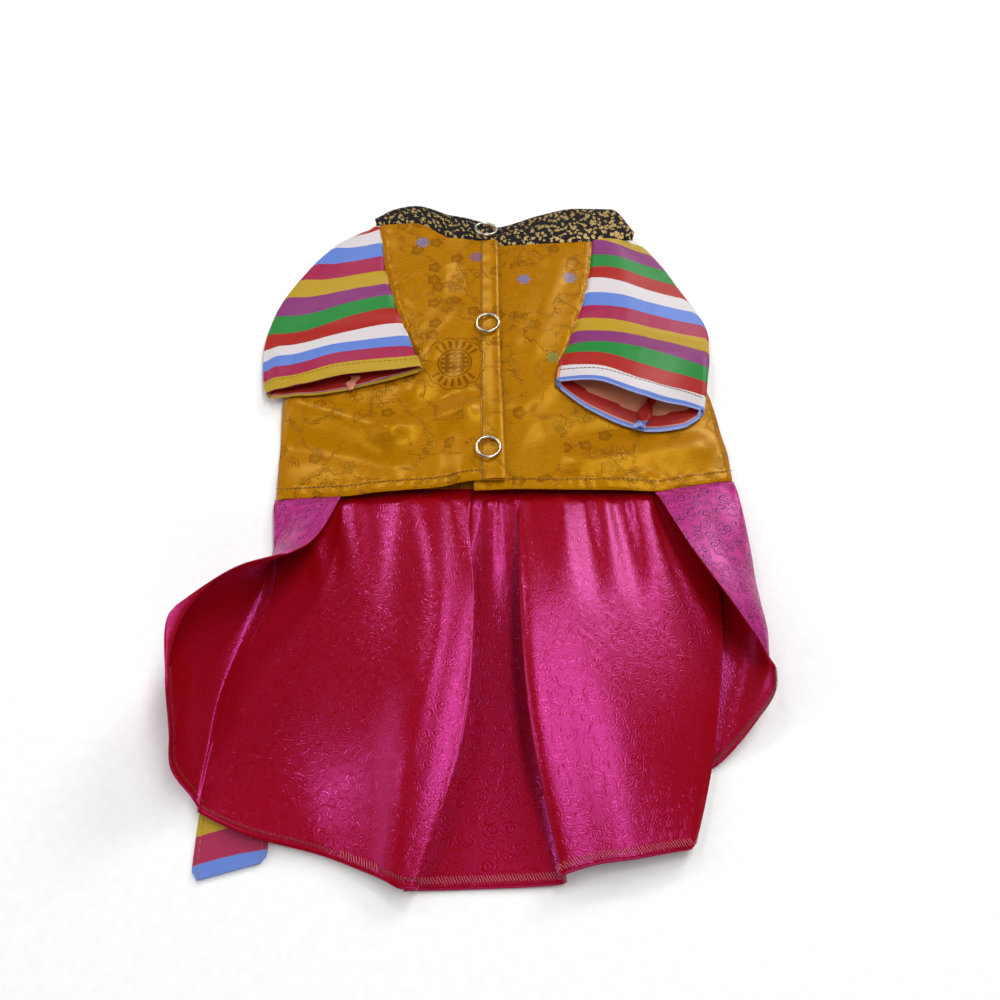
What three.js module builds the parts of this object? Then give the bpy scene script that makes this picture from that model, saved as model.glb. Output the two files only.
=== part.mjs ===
// A small dog's hanbok, laid on its back with the belly side up: a gold bodice that snaps along the
// belly, a black stand collar, two striped sleeves, a gathered skirt that is open at the belly, and
// the tail of a striped sash. Millimetres, +Z up, neck towards +Y, resting on Z = 0.
// Every cloth piece is a closed wall round a middle surface, worked out from its cut edges and heights.
import * as THREE from 'three';

// ---------------------------------------------------------------- driving sizes
const CLOTH = 1.2; // wall of one layer
const SEAM = 0.3; // clearance between neighbouring pieces
const LAYER = CLOTH + SEAM; // rise from one layer to the next one on it
const REST = CLOTH / 2; // middle of a layer that lies on the ground
const BODY_CENTRE = 2; // middle of the chest in X
const BODY_HALF = 84; // half the width of the flattened body
const FRONT_EDGE_HEIGHT = 2.4; // middle of the front at its side edges
const FRONT_LOFT = 2.9; // how much higher the front lies at mid chest
const WRAP_WIDTH = 11; // the left front climbs over the right one in this width
const RING_OUTER = 10; // snap ring, outer diameter
const RING_WIRE = 1.2; // snap ring, wire diameter
const CENTRE_X = -7.6; // middle of the laid garment in these X and Y values
const CENTRE_Y = 4.2;

// ---------------------------------------------------------------- materials
const finish = (color, roughness, metalness = 0) =>
  new THREE.MeshStandardMaterial({ color, roughness, metalness });
const gold = finish(0xb8860b, 0.45);
const black = finish(0x1c1626, 0.6);
const stripes = finish(0xc23a5c, 0.6);
const magenta = finish(0xa01038, 0.4);
const nickel = finish(0xc8c8c4, 0.25, 1);

// ---------------------------------------------------------------- small helpers
const mix = (a, b, t) => a + (b - a) * t;
const ease = (from, to, value) => {
  const t = Math.min(1, Math.max(0, (value - from) / (to - from)));
  return t * t * (3 - 2 * t);
};

// Smooth curve through evenly spaced values, t from 0 to 1
function spline(values, t) {
  const last = values.length - 1;
  const place = Math.min(Math.max(t, 0), 1) * last;
  const i = Math.min(Math.floor(place), last - 1);
  const f = place - i;
  const a = values[Math.max(i - 1, 0)];
  const b = values[i];
  const c = values[i + 1];
  const d = values[Math.min(i + 2, last)];
  return b + 0.5 * f * (c - a + f * (2 * a - 5 * b + 4 * c - d + f * (3 * (b - c) + d - a)));
}

// Cut edge through [x, y] points, walked in even steps of X or of Y, with no overshoot
function edge(points, axis) {
  const key = axis === 'x' ? 0 : 1;
  const other = 1 - key;
  const slopes = points.slice(1).map((p, i) => (p[other] - points[i][other]) / (p[key] - points[i][key]));
  const tangents = points.map((_, i) => {
    if (i === 0 || i === slopes.length) return slopes[Math.min(i, slopes.length - 1)];
    const product = slopes[i - 1] * slopes[i];
    return product <= 0 ? 0 : (2 * product) / (slopes[i - 1] + slopes[i]);
  });
  const first = points[0][key];
  const span = points[points.length - 1][key] - first;
  return (t) => {
    const along = first + span * t;
    let i = 0;
    while (i < slopes.length - 1 && (along - points[i + 1][key]) * span > 0) i += 1;
    const width = points[i + 1][key] - points[i][key];
    const f = (along - points[i][key]) / width;
    const value =
      points[i][other] * (2 * f ** 3 - 3 * f ** 2 + 1) +
      points[i + 1][other] * (3 * f ** 2 - 2 * f ** 3) +
      width * (tangents[i] * (f ** 3 - 2 * f ** 2 + f) + tangents[i + 1] * (f ** 3 - f ** 2));
    return axis === 'x' ? [along, value] : [value, along];
  };
}

// X of such an edge at a given Y
function xAt(points, y) {
  const [first, last] = [points[0][1], points[points.length - 1][1]];
  return edge(points, 'y')(Math.min(1, Math.max(0, (y - first) / (last - first))))[0];
}

// Flat patch inside four edges that share their corners: u runs from start to end, v from low to high.
// A larger fade keeps the shape of the low edge near that edge.
function patch(low, high, start, end, fade = 1) {
  return (u, v) => {
    const toHigh = 1 - (1 - v) ** fade;
    return [0, 1].map((k) => {
      const ruled = mix(low(u)[k], high(u)[k], toHigh) + mix(start(v)[k], end(v)[k], u);
      return ruled - mix(mix(low(0)[k], low(1)[k], u), mix(high(0)[k], high(1)[k], u), toHigh);
    });
  };
}

// Closed wall of cloth round the middle surface place(u, v), as an indexed geometry
function clothWall(place, columns, rows, thickness = CLOTH) {
  const tiny = 1e-3;
  const faces = [[], []];
  for (let j = 0; j <= rows; j += 1) {
    for (let i = 0; i <= columns; i += 1) {
      const [u, v] = [i / columns, j / rows];
      const across = place(Math.min(1, u + tiny), v).sub(place(Math.max(0, u - tiny), v));
      const down = place(u, Math.min(1, v + tiny)).sub(place(u, Math.max(0, v - tiny)));
      const offset = across.cross(down).normalize().multiplyScalar(thickness / 2);
      faces[0].push(place(u, v).add(offset));
      faces[1].push(place(u, v).sub(offset));
    }
  }
  const count = (columns + 1) * (rows + 1);
  const index = [];
  const quad = (a, b, c, d) => index.push(a, b, c, a, c, d);
  const at = (i, j) => j * (columns + 1) + i;
  for (let j = 0; j < rows; j += 1) {
    for (let i = 0; i < columns; i += 1) {
      const corners = [at(i, j), at(i + 1, j), at(i + 1, j + 1), at(i, j + 1)];
      quad(...corners);
      quad(...corners.map((corner) => corner + count).reverse());
    }
  }
  const rim = (a, b) => quad(b, a, a + count, b + count);
  for (let i = 0; i < columns; i += 1) {
    rim(at(i, 0), at(i + 1, 0));
    rim(at(i + 1, rows), at(i, rows));
  }
  for (let j = 0; j < rows; j += 1) {
    rim(at(columns, j), at(columns, j + 1));
    rim(at(0, j + 1), at(0, j));
  }
  const geometry = new THREE.BufferGeometry();
  const coordinates = faces.flat().flatMap((point) => point.toArray());
  geometry.setAttribute('position', new THREE.Float32BufferAttribute(coordinates, 3));
  geometry.setIndex(index);
  geometry.computeVertexNormals();
  return geometry;
}

const garment = new THREE.Group();
garment.position.set(-CENTRE_X, -CENTRE_Y, 0);

function add(name, geometry, material) {
  const mesh = new THREE.Mesh(geometry, material);
  mesh.name = name;
  garment.add(mesh);
  return mesh;
}

// Cloth piece cut to four edges and laid at height(x, y, u, v)
function laidPiece(name, material, edges, height, columns, rows) {
  const outline = patch(...edges);
  const place = (u, v) => {
    const [x, y] = outline(u, v);
    return new THREE.Vector3(x, y, height(x, y, u, v));
  };
  return add(name, clothWall(place, columns, rows), material);
}

// ---------------------------------------------------------------- heights of the laid layers
// Soft creases of the front: from one end to the other, with a height and a half width
const CREASES = [
  { fromX: -76, fromY: 34, toX: -40, toY: 22, height: 0.7, half: 6 },
  { fromX: -44, fromY: 24, toX: -16, toY: 36, height: 0.6, half: 5 },
  { fromX: -34, fromY: 46, toX: -20, toY: 84, height: 0.5, half: 5 },
  { fromX: 14, fromY: 70, toX: 24, toY: 108, height: 0.5, half: 5 },
  { fromX: 30, fromY: 10, toX: 70, toY: 18, height: 0.6, half: 6 },
];

function creaseHeight(x, y) {
  return CREASES.reduce((sum, c) => {
    const [dx, dy] = [c.toX - c.fromX, c.toY - c.fromY];
    const length = Math.hypot(dx, dy);
    const along = ((x - c.fromX) * dx + (y - c.fromY) * dy) / length;
    const aside = ((x - c.fromX) * dy - (y - c.fromY) * dx) / length;
    const beyond = Math.max(0, -along, along - length);
    return sum + c.height * Math.exp(-((aside / c.half) ** 2) - (beyond / c.half) ** 2);
  }, 0);
}

// Middle of the belly side, which lies on the back and swells a little at mid chest
const HEM_LIFT = 1.2; // rise of the belly hem at its two ends
const HEM_LIFT_FROM = 2; // Y where that rise is full, and where it has gone
const HEM_LIFT_TO = 22;
function frontHeight(x, y) {
  const side = Math.min(1, Math.abs(x - BODY_CENTRE) / BODY_HALF) ** 4;
  const hemLift = HEM_LIFT * side * (1 - ease(HEM_LIFT_FROM, HEM_LIFT_TO, y));
  return FRONT_EDGE_HEIGHT + FRONT_LOFT * (1 - side) + hemLift + creaseHeight(x, y);
}

// The left front and the left end of the collar lie over the right ones
const WRAP_TOP = -13; // X where the left front has reached its place over the right one
const overlapLift = (x) => LAYER * ease(WRAP_TOP - WRAP_WIDTH, WRAP_TOP, x);
const leftFrontHeight = (x, y) => frontHeight(x, y) + overlapLift(x);

// ---------------------------------------------------------------- bodice
const BACK_HEM = [[-81, -0.8], [-74, 1.8], [-66, 3.4], [-30, 4.4], [20, 4.4], [66, 5.4], [85, 6.8]];
const BACK_NECK = [[-47, 124], [-26, 121], [0, 119.8], [28, 120.4], [50, 122]];
const BACK_LEFT = [[-81, -0.8], [-82.4, 20], [-83, 42], [-80, 66], [-73, 80], [-62, 98], [-47, 124]];
const BACK_RIGHT = [[85, 6.8], [84.6, 20], [82, 42], [78.4, 64], [72, 80], [61, 100], [50, 122]];

laidPiece(
  'back_panel', gold,
  [edge(BACK_HEM, 'x'), edge(BACK_NECK, 'x'), edge(BACK_LEFT, 'y'), edge(BACK_RIGHT, 'y')],
  () => REST, 10, 24,
);

// Belly hem, neckline, armholes and the overlapping front edges
const LEFT_HEM = [[-81.8, -1.8], [-58, -1.2], [-43.9, 0.6], [-30, 1.6], [-18, 3], [-9.5, 4.4], [2.2, 4.4]];
const RIGHT_HEM = [[-9.5, 1], [9, 1.7], [24, 1.5], [43.6, 1.3], [56.7, 0.9], [69, 3.3], [86, 6.4]];
// Each side of the front: the side edge up to the underarm, then the armhole seam up to the neck
const FRONT_LEFT_SIDE = [
  [-81.8, -1.8], [-83.3, 22], [-84.2, 42], [-84, 54], [-33.6, 60], [-35.9, 69.6], [-39.7, 80.8],
  [-42.5, 88.7], [-45.7, 99.9], [-48.5, 111.5], [-50.6, 125.8], [-52.5, 134.2],
];
const FRONT_RIGHT_SIDE = [
  [86, 6.4], [86, 17], [84.3, 28], [82.8, 39], [79, 52], [24.6, 58], [27.8, 68.8],
  [31.6, 82.5], [35.5, 96.7], [37.8, 110.5], [39.4, 124.6],
];
const LEFT_NECK = [[-52.5, 134.2], [-37, 135], [-21.4, 126.4], [-9, 123.2], [-0.9, 122.6]];
const RIGHT_NECK = [[-9.5, 121.4], [-1.3, 121.6], [17, 122.8], [39.4, 124.6]];
const LEFT_FRONT_FOLD = [[2.2, 4.4], [0, 69.6], [-0.9, 122.6]];
const RIGHT_FRONT_EDGE = [[-9.5, 1], [-9.5, 60], [-9.5, 121.4]];

laidPiece(
  'front_left', gold,
  [
    edge(LEFT_HEM, 'x'),
    edge(LEFT_NECK, 'x'),
    edge(FRONT_LEFT_SIDE, 'y'),
    edge(LEFT_FRONT_FOLD, 'y'),
  ],
  leftFrontHeight, 14, 18,
);
laidPiece(
  'front_right', gold,
  [
    edge(RIGHT_HEM, 'x'),
    edge(RIGHT_NECK, 'x'),
    edge(RIGHT_FRONT_EDGE, 'y'),
    edge(FRONT_RIGHT_SIDE, 'y'),
  ],
  frontHeight, 14, 18,
);

// The folded facing band that is sewn along the left front's edge and carries the snaps
const PLACKET_SEWN = [[-7, 4.6], [-7.6, 69.6], [-8.1, 123]];
const PLACKET_FOLD = [[2, 4.6], [-0.2, 69.6], [-1.1, 122.4]];
laidPiece(
  'placket', gold,
  [
    edge([PLACKET_SEWN[0], PLACKET_FOLD[0]], 'x'),
    edge([PLACKET_SEWN[2], PLACKET_FOLD[2]], 'x'),
    edge(PLACKET_SEWN, 'y'),
    edge(PLACKET_FOLD, 'y'),
  ],
  (x, y) => leftFrontHeight(x, y) + LAYER, 2, 24,
);

// ---------------------------------------------------------------- collar
// One stand band in three stretches: two that meet at the belly and one behind the neck
const COLLAR_LEFT_SEWN = [[-53.5, 134.6], [-37, 135.4], [-21.4, 126.8], [-9, 123.6], [-2.4, 123.1]];
const COLLAR_LEFT_TOP = [[-54.4, 138], [-46, 143.6], [-37.2, 145.6], [-21.7, 139.7], [-9.5, 134.8], [-2.4, 133]];
const COLLAR_RIGHT_SEWN = [[-10, 121.9], [-1.3, 122.1], [17, 123.3], [40, 125.2], [56.8, 126]];
const COLLAR_RIGHT_TOP = [[-10, 131.6], [-1.3, 132.4], [17.4, 139.7], [32.8, 143.8], [48.9, 143.6], [57.8, 130]];
const COLLAR_BACK_SEWN = [[-49.6, 124.8], [-26, 121.5], [0, 120.3], [28, 120.9], [52.4, 122.6]];
const COLLAR_BACK_TOP = [[-53, 136], [-26, 134], [0, 132.6], [28, 133.6], [56, 134]];

const ends = (low, high) => [
  edge([low[0], high[0]], 'y'),
  edge([low[low.length - 1], high[high.length - 1]], 'y'),
];
laidPiece(
  'collar_left', black,
  [edge(COLLAR_LEFT_SEWN, 'x'), edge(COLLAR_LEFT_TOP, 'x'), ...ends(COLLAR_LEFT_SEWN, COLLAR_LEFT_TOP)],
  leftFrontHeight, 14, 2,
);
laidPiece(
  'collar_right', black,
  [edge(COLLAR_RIGHT_SEWN, 'x'), edge(COLLAR_RIGHT_TOP, 'x'), ...ends(COLLAR_RIGHT_SEWN, COLLAR_RIGHT_TOP)],
  frontHeight, 14, 2,
);
laidPiece(
  'collar_back', black,
  [edge(COLLAR_BACK_SEWN, 'x'), edge(COLLAR_BACK_TOP, 'x'), ...ends(COLLAR_BACK_SEWN, COLLAR_BACK_TOP)],
  () => REST, 14, 2,
);

// ---------------------------------------------------------------- sleeves
// Each sleeve is a tube pressed flat. Its upper layer runs from the armhole seam to the outer fold,
// and its under layer from the back's raglan seam, over the front, to the same fold.
const LEFT_SLEEVE = {
  out: -1,
  frontSide: FRONT_LEFT_SIDE,
  backSide: BACK_LEFT,
  underarm: 60,
  upperTop: 133,
  underTop: 123.6,
  upperLip: [[-31.6, 54.1], [-46.6, 51.7], [-61.9, 49.3], [-77.3, 46], [-89.7, 45.6]],
  underLip: [[-32.4, 52.4], [-46.7, 49], [-63.9, 44.6], [-76, 42.6], [-88.8, 43.6]],
  upperFold: [[-89.7, 45.6], [-91.5, 51], [-93.2, 68.3], [-90, 87], [-80, 107.7], [-66.8, 126.6], [-56.4, 133.6]],
  underFold: [[-88.8, 43.6], [-91, 51], [-92.6, 68.3], [-89.4, 87], [-79.4, 107.4], [-66.2, 122.6], [-60, 126.5]],
  loft: 1.4,
  cuffLoft: 0.8,
};
const RIGHT_SLEEVE = {
  out: 1,
  frontSide: FRONT_RIGHT_SIDE,
  backSide: BACK_RIGHT,
  underarm: 58,
  upperTop: 124.7,
  underTop: 120.6,
  upperLip: [[23.1, 48.1], [38, 44.1], [52.4, 36.8], [64.1, 34.9], [76.4, 36.1]],
  underLip: [[23.6, 46], [34.4, 36.6], [49.3, 29.1], [56.7, 26.9], [68.5, 28.5], [75.8, 33.4]],
  upperFold: [[76.4, 36.1], [78.8, 48.9], [80.3, 62], [81.5, 76.5], [77.8, 86], [72.5, 97], [65.6, 112], [57.4, 125.4]],
  underFold: [[75.8, 33.4], [78.2, 48.9], [80.9, 62], [82, 76.5], [78, 87], [71.9, 98], [65, 110.6], [60.5, 117]],
  loft: 2.4,
  cuffLoft: 6,
};
const SEAM_IN_PLAN = 0.7; // clearance of the sleeve seams, measured along X
const UNDERARM_BAND = 8; // the seam leaves the free cuff edge within this length
const LAID_OPEN = 0.4; // extra air between the two layers of a sleeve
const LIP_FADE = 3; // the slant of the cuff is lost quickly above it
const BODY_SIDE_FROM = 87; // the under layer comes down to the ground between these distances
const BODY_SIDE_TO = 95; // from the middle of the body
const ABOVE_ARM_FROM = 1; // it goes under the body between these distances above the underarm
const ABOVE_ARM_TO = 17;
const ARMHOLE_RISE = 24; // the upper layer meets the level of the front within this length
const CUFF_SWELL = 0.5; // share of the sleeve's length that the open cuff lifts

// Inner edge of a sleeve layer from its lip, where it is a free fold, to the seam it is sewn in
const sleeveSeam = (sleeve, lip, top, seamX) => (t) => {
  const y = mix(lip[0][1], top, t);
  return [mix(lip[0][0], seamX(y), ease(lip[0][1], sleeve.underarm + 1, y)), y];
};
const frontSeamX = (sleeve) => (y) => {
  const seam = Math.max(y, sleeve.underarm + 0.5);
  return xAt(sleeve.frontSide, seam) + sleeve.out * SEAM_IN_PLAN;
};
const backSeamX = (sleeve) => (y) => {
  const onBack = ease(sleeve.underarm, sleeve.underarm + UNDERARM_BAND, y);
  return mix(frontSeamX(sleeve)(y), xAt(sleeve.backSide, y) + sleeve.out * SEAM_IN_PLAN, onBack);
};

// The under layer lies on the ground beside the back and climbs over the front below the underarm
function underHeight(sleeve, x, y) {
  const overBody = 1 - ease(BODY_SIDE_FROM, BODY_SIDE_TO, Math.abs(x));
  const belowArm = 1 - ease(ABOVE_ARM_FROM, ABOVE_ARM_TO, y - sleeve.underarm);
  return mix(REST, frontHeight(x, y) + LAYER, overBody * belowArm);
}

function upperHeight(sleeve, x, y, u, v) {
  const outside = underHeight(sleeve, x, y) + LAYER + LAID_OPEN;
  const lowSeam = 1 - ease(0, ARMHOLE_RISE, y - sleeve.underarm);
  const inside = Math.max(frontHeight(x, y) + (2 * LAYER + LAID_OPEN) * lowSeam, outside);
  const swell = 4 * u * (1 - u);
  const cuff = sleeve.cuffLoft * (1 - ease(0, CUFF_SWELL, v));
  return mix(inside, outside, ease(0, 1, u)) + swell * (cuff + sleeve.loft);
}

function sleeveLayer(name, sleeve, lip, fold, top, seamX, height) {
  const inner = sleeveSeam(sleeve, lip, top, seamX);
  const high = edge([inner(1), fold[fold.length - 1]], 'x');
  laidPiece(
    name, stripes, [edge(lip, 'x'), high, inner, edge(fold, 'y'), LIP_FADE],
    (x, y, u, v) => height(sleeve, x, y, u, v), 11, 14,
  );
}
for (const [label, sleeve] of [['left', LEFT_SLEEVE], ['right', RIGHT_SLEEVE]]) {
  const { upperLip, upperFold, upperTop, underLip, underFold, underTop } = sleeve;
  sleeveLayer(`sleeve_${label}_upper`, sleeve, upperLip, upperFold, upperTop, frontSeamX(sleeve), upperHeight);
  sleeveLayer(`sleeve_${label}_under`, sleeve, underLip, underFold, underTop, backSeamX(sleeve), underHeight);
}

// ---------------------------------------------------------------- sash tail
// A finished striped ribbon that hangs from the waist of the back and lies under the skirt
const SASH_LEFT = [[-93.6, -133.4], [-93.8, -116], [-88, -70], [-74, -9]];
const SASH_RIGHT = [[-71.4, -128.4], [-71.8, -112], [-66, -70], [-52, -9]];
laidPiece(
  'sash_tail', stripes,
  [
    edge([SASH_LEFT[0], SASH_RIGHT[0]], 'x'),
    edge([SASH_LEFT[3], SASH_RIGHT[3]], 'x'),
    edge(SASH_LEFT, 'y'),
    edge(SASH_RIGHT, 'y'),
  ],
  () => REST, 4, 12,
);

// ---------------------------------------------------------------- skirt
// Waist lines: [x, y, z] along the hem of the bodice, round the side fold of the flattened tube
const SKIRT_WAIST = [
  [-58, -1.8, 5], [-67, -2.1, 4.6], [-76, -2.4, 4.2], [-82.4, -2.5, 2.6], [-77, -1.2, REST],
  [-66, 2.4, REST], [-48, 3.5, REST], [-30, 3.9, REST], [-12, 3.9, REST], [6, 3.9, REST],
  [24, 3.9, REST], [42, 4.2, REST], [58, 4.6, 1.5], [70, 4.8, 2.8],
];
const SIDE_WAIST = [
  [66, 4.6, REST], [77, 5.4, REST], [86.4, 5.6, 2.4], [82, 4.6, 4.2], [70, 2.6, 4.8], [56.7, 0.1, 5],
];

// One row for each fold line of the skirt, from the left free edge to the fold at the right.
// waist: share of the waist line; upper, lower and rim: the points at 1/3, 2/3 and all of the fold line
const SKIRT_FOLDS = [
  { waist: 0.000, upper: [-66, -26, 15], lower: [-87, -41, 27], rim: [-105, -62, 35] },
  { waist: 0.050, upper: [-75, -29, 14], lower: [-99, -53, 27], rim: [-100, -82, 33] },
  { waist: 0.110, upper: [-81, -31, 9], lower: [-104, -64, 19], rim: [-100, -94, 24] },
  { waist: 0.180, upper: [-83, -35, 3], lower: [-100, -73, 8], rim: [-101, -103, 14] },
  { waist: 0.250, upper: [-78, -39, REST], lower: [-90, -79, REST], rim: [-94, -113, 4] },
  { waist: 0.330, upper: [-67, -41, 1], lower: [-76, -84, 1], rim: [-77, -121, 3] },
  { waist: 0.410, upper: [-52, -43, 4], lower: [-58, -88, 4], rim: [-56, -126, 3] },
  { waist: 0.490, upper: [-36, -44, 5], lower: [-40, -90, 7], rim: [-42, -131, 4] },
  { waist: 0.575, upper: [-19, -44, 9], lower: [-25, -91, 12], rim: [-30, -137, 6] },
  { waist: 0.600, upper: [-12, -45, 5], lower: [-15, -91, 6], rim: [-24, -135, 3] },
  { waist: 0.630, upper: [-5, -45, REST], lower: [-8, -91, REST], rim: [-12, -136, REST] },
  { waist: 0.665, upper: [3, -45, REST], lower: [2, -91, REST], rim: [4, -136, REST] },
  { waist: 0.690, upper: [9, -45, 2], lower: [11, -91, 2], rim: [16, -135, 1.4] },
  { waist: 0.700, upper: [7, -45, 9], lower: [10, -91, 11], rim: [19, -133, 6] },
  { waist: 0.735, upper: [17, -45, 13], lower: [22, -90, 15], rim: [29, -130, 8] },
  { waist: 0.785, upper: [32, -45, 11], lower: [38, -89, 13], rim: [42, -128, 7] },
  { waist: 0.860, upper: [50, -44, 9], lower: [56, -87, 11], rim: [54, -126, 8] },
  { waist: 0.930, upper: [66, -45, 6], lower: [65, -89, 7], rim: [58, -125, 6] },
  { waist: 1.000, upper: [76, -46, 3.4], lower: [69, -92, 3.4], rim: [60, -123, 3.4] },
];
// The side of the skirt at the right: from its edge under that fold, round the side, to the free edge
const SIDE_FOLDS = [
  { waist: 0.00, upper: [66, -30, REST], lower: [59, -68, REST], rim: [53, -104, REST] },
  { waist: 0.20, upper: [79, -30, REST], lower: [73, -66, REST], rim: [67, -100, 1] },
  { waist: 0.38, upper: [88, -30, 3], lower: [84, -62, 3], rim: [77, -92, 4] },
  { waist: 0.55, upper: [86, -28, 9], lower: [89, -58, 9], rim: [84, -84, 6] },
  { waist: 0.78, upper: [76, -26, 13], lower: [86, -53, 15], rim: [89, -77, 8] },
  { waist: 1.00, upper: [65, -25, 14], lower: [76, -49, 19], rim: [90, -69, 11] },
];

// The skirt rests on the ground, or on the sash tail where that lies under it
const SASH_HALF = 11; // half the width of the tail
const SASH_TOP = -9; // Y of its two ends
const SASH_END = -134;
const SASH_RISE = LAYER + 0.15; // the skirt clears the tail by a little more than a seam
function restHeight(x, y) {
  const [low, top] = [SASH_LEFT[1], SASH_LEFT[3]];
  const sashX = mix(low[0], top[0], (y - low[1]) / (top[1] - low[1])) + SASH_HALF;
  const overTail = 1 - ease(SASH_HALF + 4, SASH_HALF + 11, Math.abs(x - sashX));
  const beyond = Math.max(0, y - SASH_TOP, SASH_END - y);
  return REST + SASH_RISE * overTail * (1 - ease(3, 10, beyond));
}

// Surface through the fold lines of a table, with gathers that fade out below the waist
const GATHER_HEIGHT = 1.6;
const GATHER_START = 0.08; // shares of the skirt's length: full height here,
const GATHER_FADE = 0.1; // fading from here
const GATHER_END = 0.45; // and gone here
function foldedSkirt(waistLine, folds, gathers) {
  const waists = folds.map((fold) => [0, 1, 2].map((k) => spline(waistLine.map((p) => p[k]), fold.waist)));
  return (u, v) => {
    const point = [0, 1, 2].map((k) => {
      const stations = [
        spline(waists.map((waist) => waist[k]), u),
        spline(folds.map((fold) => fold.upper[k]), u),
        spline(folds.map((fold) => fold.lower[k]), u),
        spline(folds.map((fold) => fold.rim[k]), u),
      ];
      return spline(stations, v);
    });
    const gathered = ease(0, GATHER_START, v) * (1 - ease(GATHER_FADE, GATHER_END, v));
    point[2] += GATHER_HEIGHT * gathered * (0.5 - 0.5 * Math.cos(2 * Math.PI * gathers * u));
    point[2] = Math.max(point[2], restHeight(point[0], point[1]));
    return new THREE.Vector3(...point);
  };
}
add('skirt', clothWall(foldedSkirt(SKIRT_WAIST, SKIRT_FOLDS, 13), 78, 14), magenta);
add('skirt_side_right', clothWall(foldedSkirt(SIDE_WAIST, SIDE_FOLDS, 3), 20, 12), magenta);

// ---------------------------------------------------------------- snap rings
// The open rings of the prong snaps, fastened, each flat on the cloth it is set in
const SNAPS = [
  { x: -6, y: 128.6, base: leftFrontHeight },
  { x: -4.9, y: 76.7, base: (x, y) => leftFrontHeight(x, y) + LAYER },
  { x: -4.3, y: 17.5, base: (x, y) => leftFrontHeight(x, y) + LAYER },
];
SNAPS.forEach(({ x, y, base }, i) => {
  const ring = new THREE.TorusGeometry((RING_OUTER - RING_WIRE) / 2, RING_WIRE / 2, 6, 20);
  const mesh = add(`snap_ring_${i + 1}`, ring, nickel);
  mesh.position.set(x, y, base(x, y) + CLOTH / 2 + SEAM + RING_WIRE / 2);
});

export default garment;
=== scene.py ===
# %% [markdown]
# # A small dog's hanbok, laid flat
# The garment lies on its back with the belly side up. Each cloth piece is a thin closed shell on the
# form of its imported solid, with finer creases. The tables hold the cut edges in millimetres, and the
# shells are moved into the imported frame, in metres, when they are made.

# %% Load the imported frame
import math

import bpy
import numpy as np
from mathutils import Matrix, Vector


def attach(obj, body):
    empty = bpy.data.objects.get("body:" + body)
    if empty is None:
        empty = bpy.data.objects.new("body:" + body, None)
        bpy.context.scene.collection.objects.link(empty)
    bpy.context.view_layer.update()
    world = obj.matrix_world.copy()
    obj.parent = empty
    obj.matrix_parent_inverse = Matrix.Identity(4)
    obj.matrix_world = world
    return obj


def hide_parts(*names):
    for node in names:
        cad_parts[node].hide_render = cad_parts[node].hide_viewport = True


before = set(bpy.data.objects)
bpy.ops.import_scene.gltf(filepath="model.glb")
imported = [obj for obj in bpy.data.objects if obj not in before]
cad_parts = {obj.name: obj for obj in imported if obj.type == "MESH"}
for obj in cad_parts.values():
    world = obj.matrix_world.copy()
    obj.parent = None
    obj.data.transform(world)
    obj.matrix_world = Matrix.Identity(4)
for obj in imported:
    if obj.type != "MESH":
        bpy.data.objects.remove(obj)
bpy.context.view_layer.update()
print("packed solids:", len(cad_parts))

# %% [markdown]
# Cloth is cut along smooth edges. A few measured points on each edge and a cubic that never overshoots
# them give the same edges as the solids have. A patch fills the space inside four such edges.

# %% Curves and patches
LAYER = 1.5  # rise from one layer of cloth to the next, mm
REST = 0.6  # middle of a layer that lies on the ground
SHIFT = np.array([7.6, -4.2, 0.0])  # from the tables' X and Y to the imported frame


def mix(a, b, t):
    return a + (b - a) * t


def ease(start, end, value):
    t = np.clip((value - start) / (end - start), 0, 1)
    return t * t * (3 - 2 * t)


def spline(values, t):
    """Smooth curve through evenly spaced values, which may be numbers, points or whole lines of points."""
    values = np.asarray(values, float)
    last = len(values) - 1
    place = np.clip(t, 0, 1) * last
    i = np.minimum(np.floor(place).astype(int), last - 1)
    f = (place - i).reshape(-1, *[1] * (values.ndim - 1))
    a, b, c, d = (values[np.clip(i + k, 0, last)] for k in (-1, 0, 1, 2))
    return b + 0.5 * f * (c - a + f * (2 * a - 5 * b + 4 * c - d + f * (3 * (b - c) + d - a)))


def edge(points, axis):
    """Cut edge through (x, y) points, walked in even steps of X or of Y."""
    points = np.array(points, float)
    key = 0 if axis == "x" else 1
    k, o = points[:, key], points[:, 1 - key]
    slopes = np.diff(o) / np.diff(k)
    tangents = np.zeros(len(k))
    tangents[0], tangents[-1] = slopes[0], slopes[-1]
    product = slopes[:-1] * slopes[1:]
    total = np.where(product > 0, slopes[:-1] + slopes[1:], 1)
    tangents[1:-1] = np.where(product > 0, 2 * product / total, 0)
    rising = k[-1] > k[0]

    def at(t):
        along = k[0] + (k[-1] - k[0]) * np.asarray(t, float)
        ordered = k if rising else -k
        i = np.clip(np.searchsorted(ordered, along if rising else -along) - 1, 0, len(slopes) - 1)
        width = k[i + 1] - k[i]
        f = (along - k[i]) / width
        value = o[i] * (2 * f**3 - 3 * f**2 + 1) + o[i + 1] * (3 * f**2 - 2 * f**3)
        value += width * (tangents[i] * (f**3 - 2 * f**2 + f) + tangents[i + 1] * (f**3 - f**2))
        return (along, value) if axis == "x" else (value, along)

    return at


def x_at(points, y):
    first, last = points[0][1], points[-1][1]
    return edge(points, "y")(np.clip((y - first) / (last - first), 0, 1))[0]


def patch(low, high, start, end, fade=1):
    """Flat patch inside four edges that share their corners."""

    def at(u, v):
        to_high = 1 - (1 - v) ** fade
        result = []
        for k in (0, 1):
            ruled = mix(low(u)[k], high(u)[k], to_high) + mix(start(v)[k], end(v)[k], u)
            corners = mix(mix(low(0)[k], low(1)[k], u), mix(high(0)[k], high(1)[k], u), to_high)
            result.append(ruled - corners)
        return result

    return at


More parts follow.
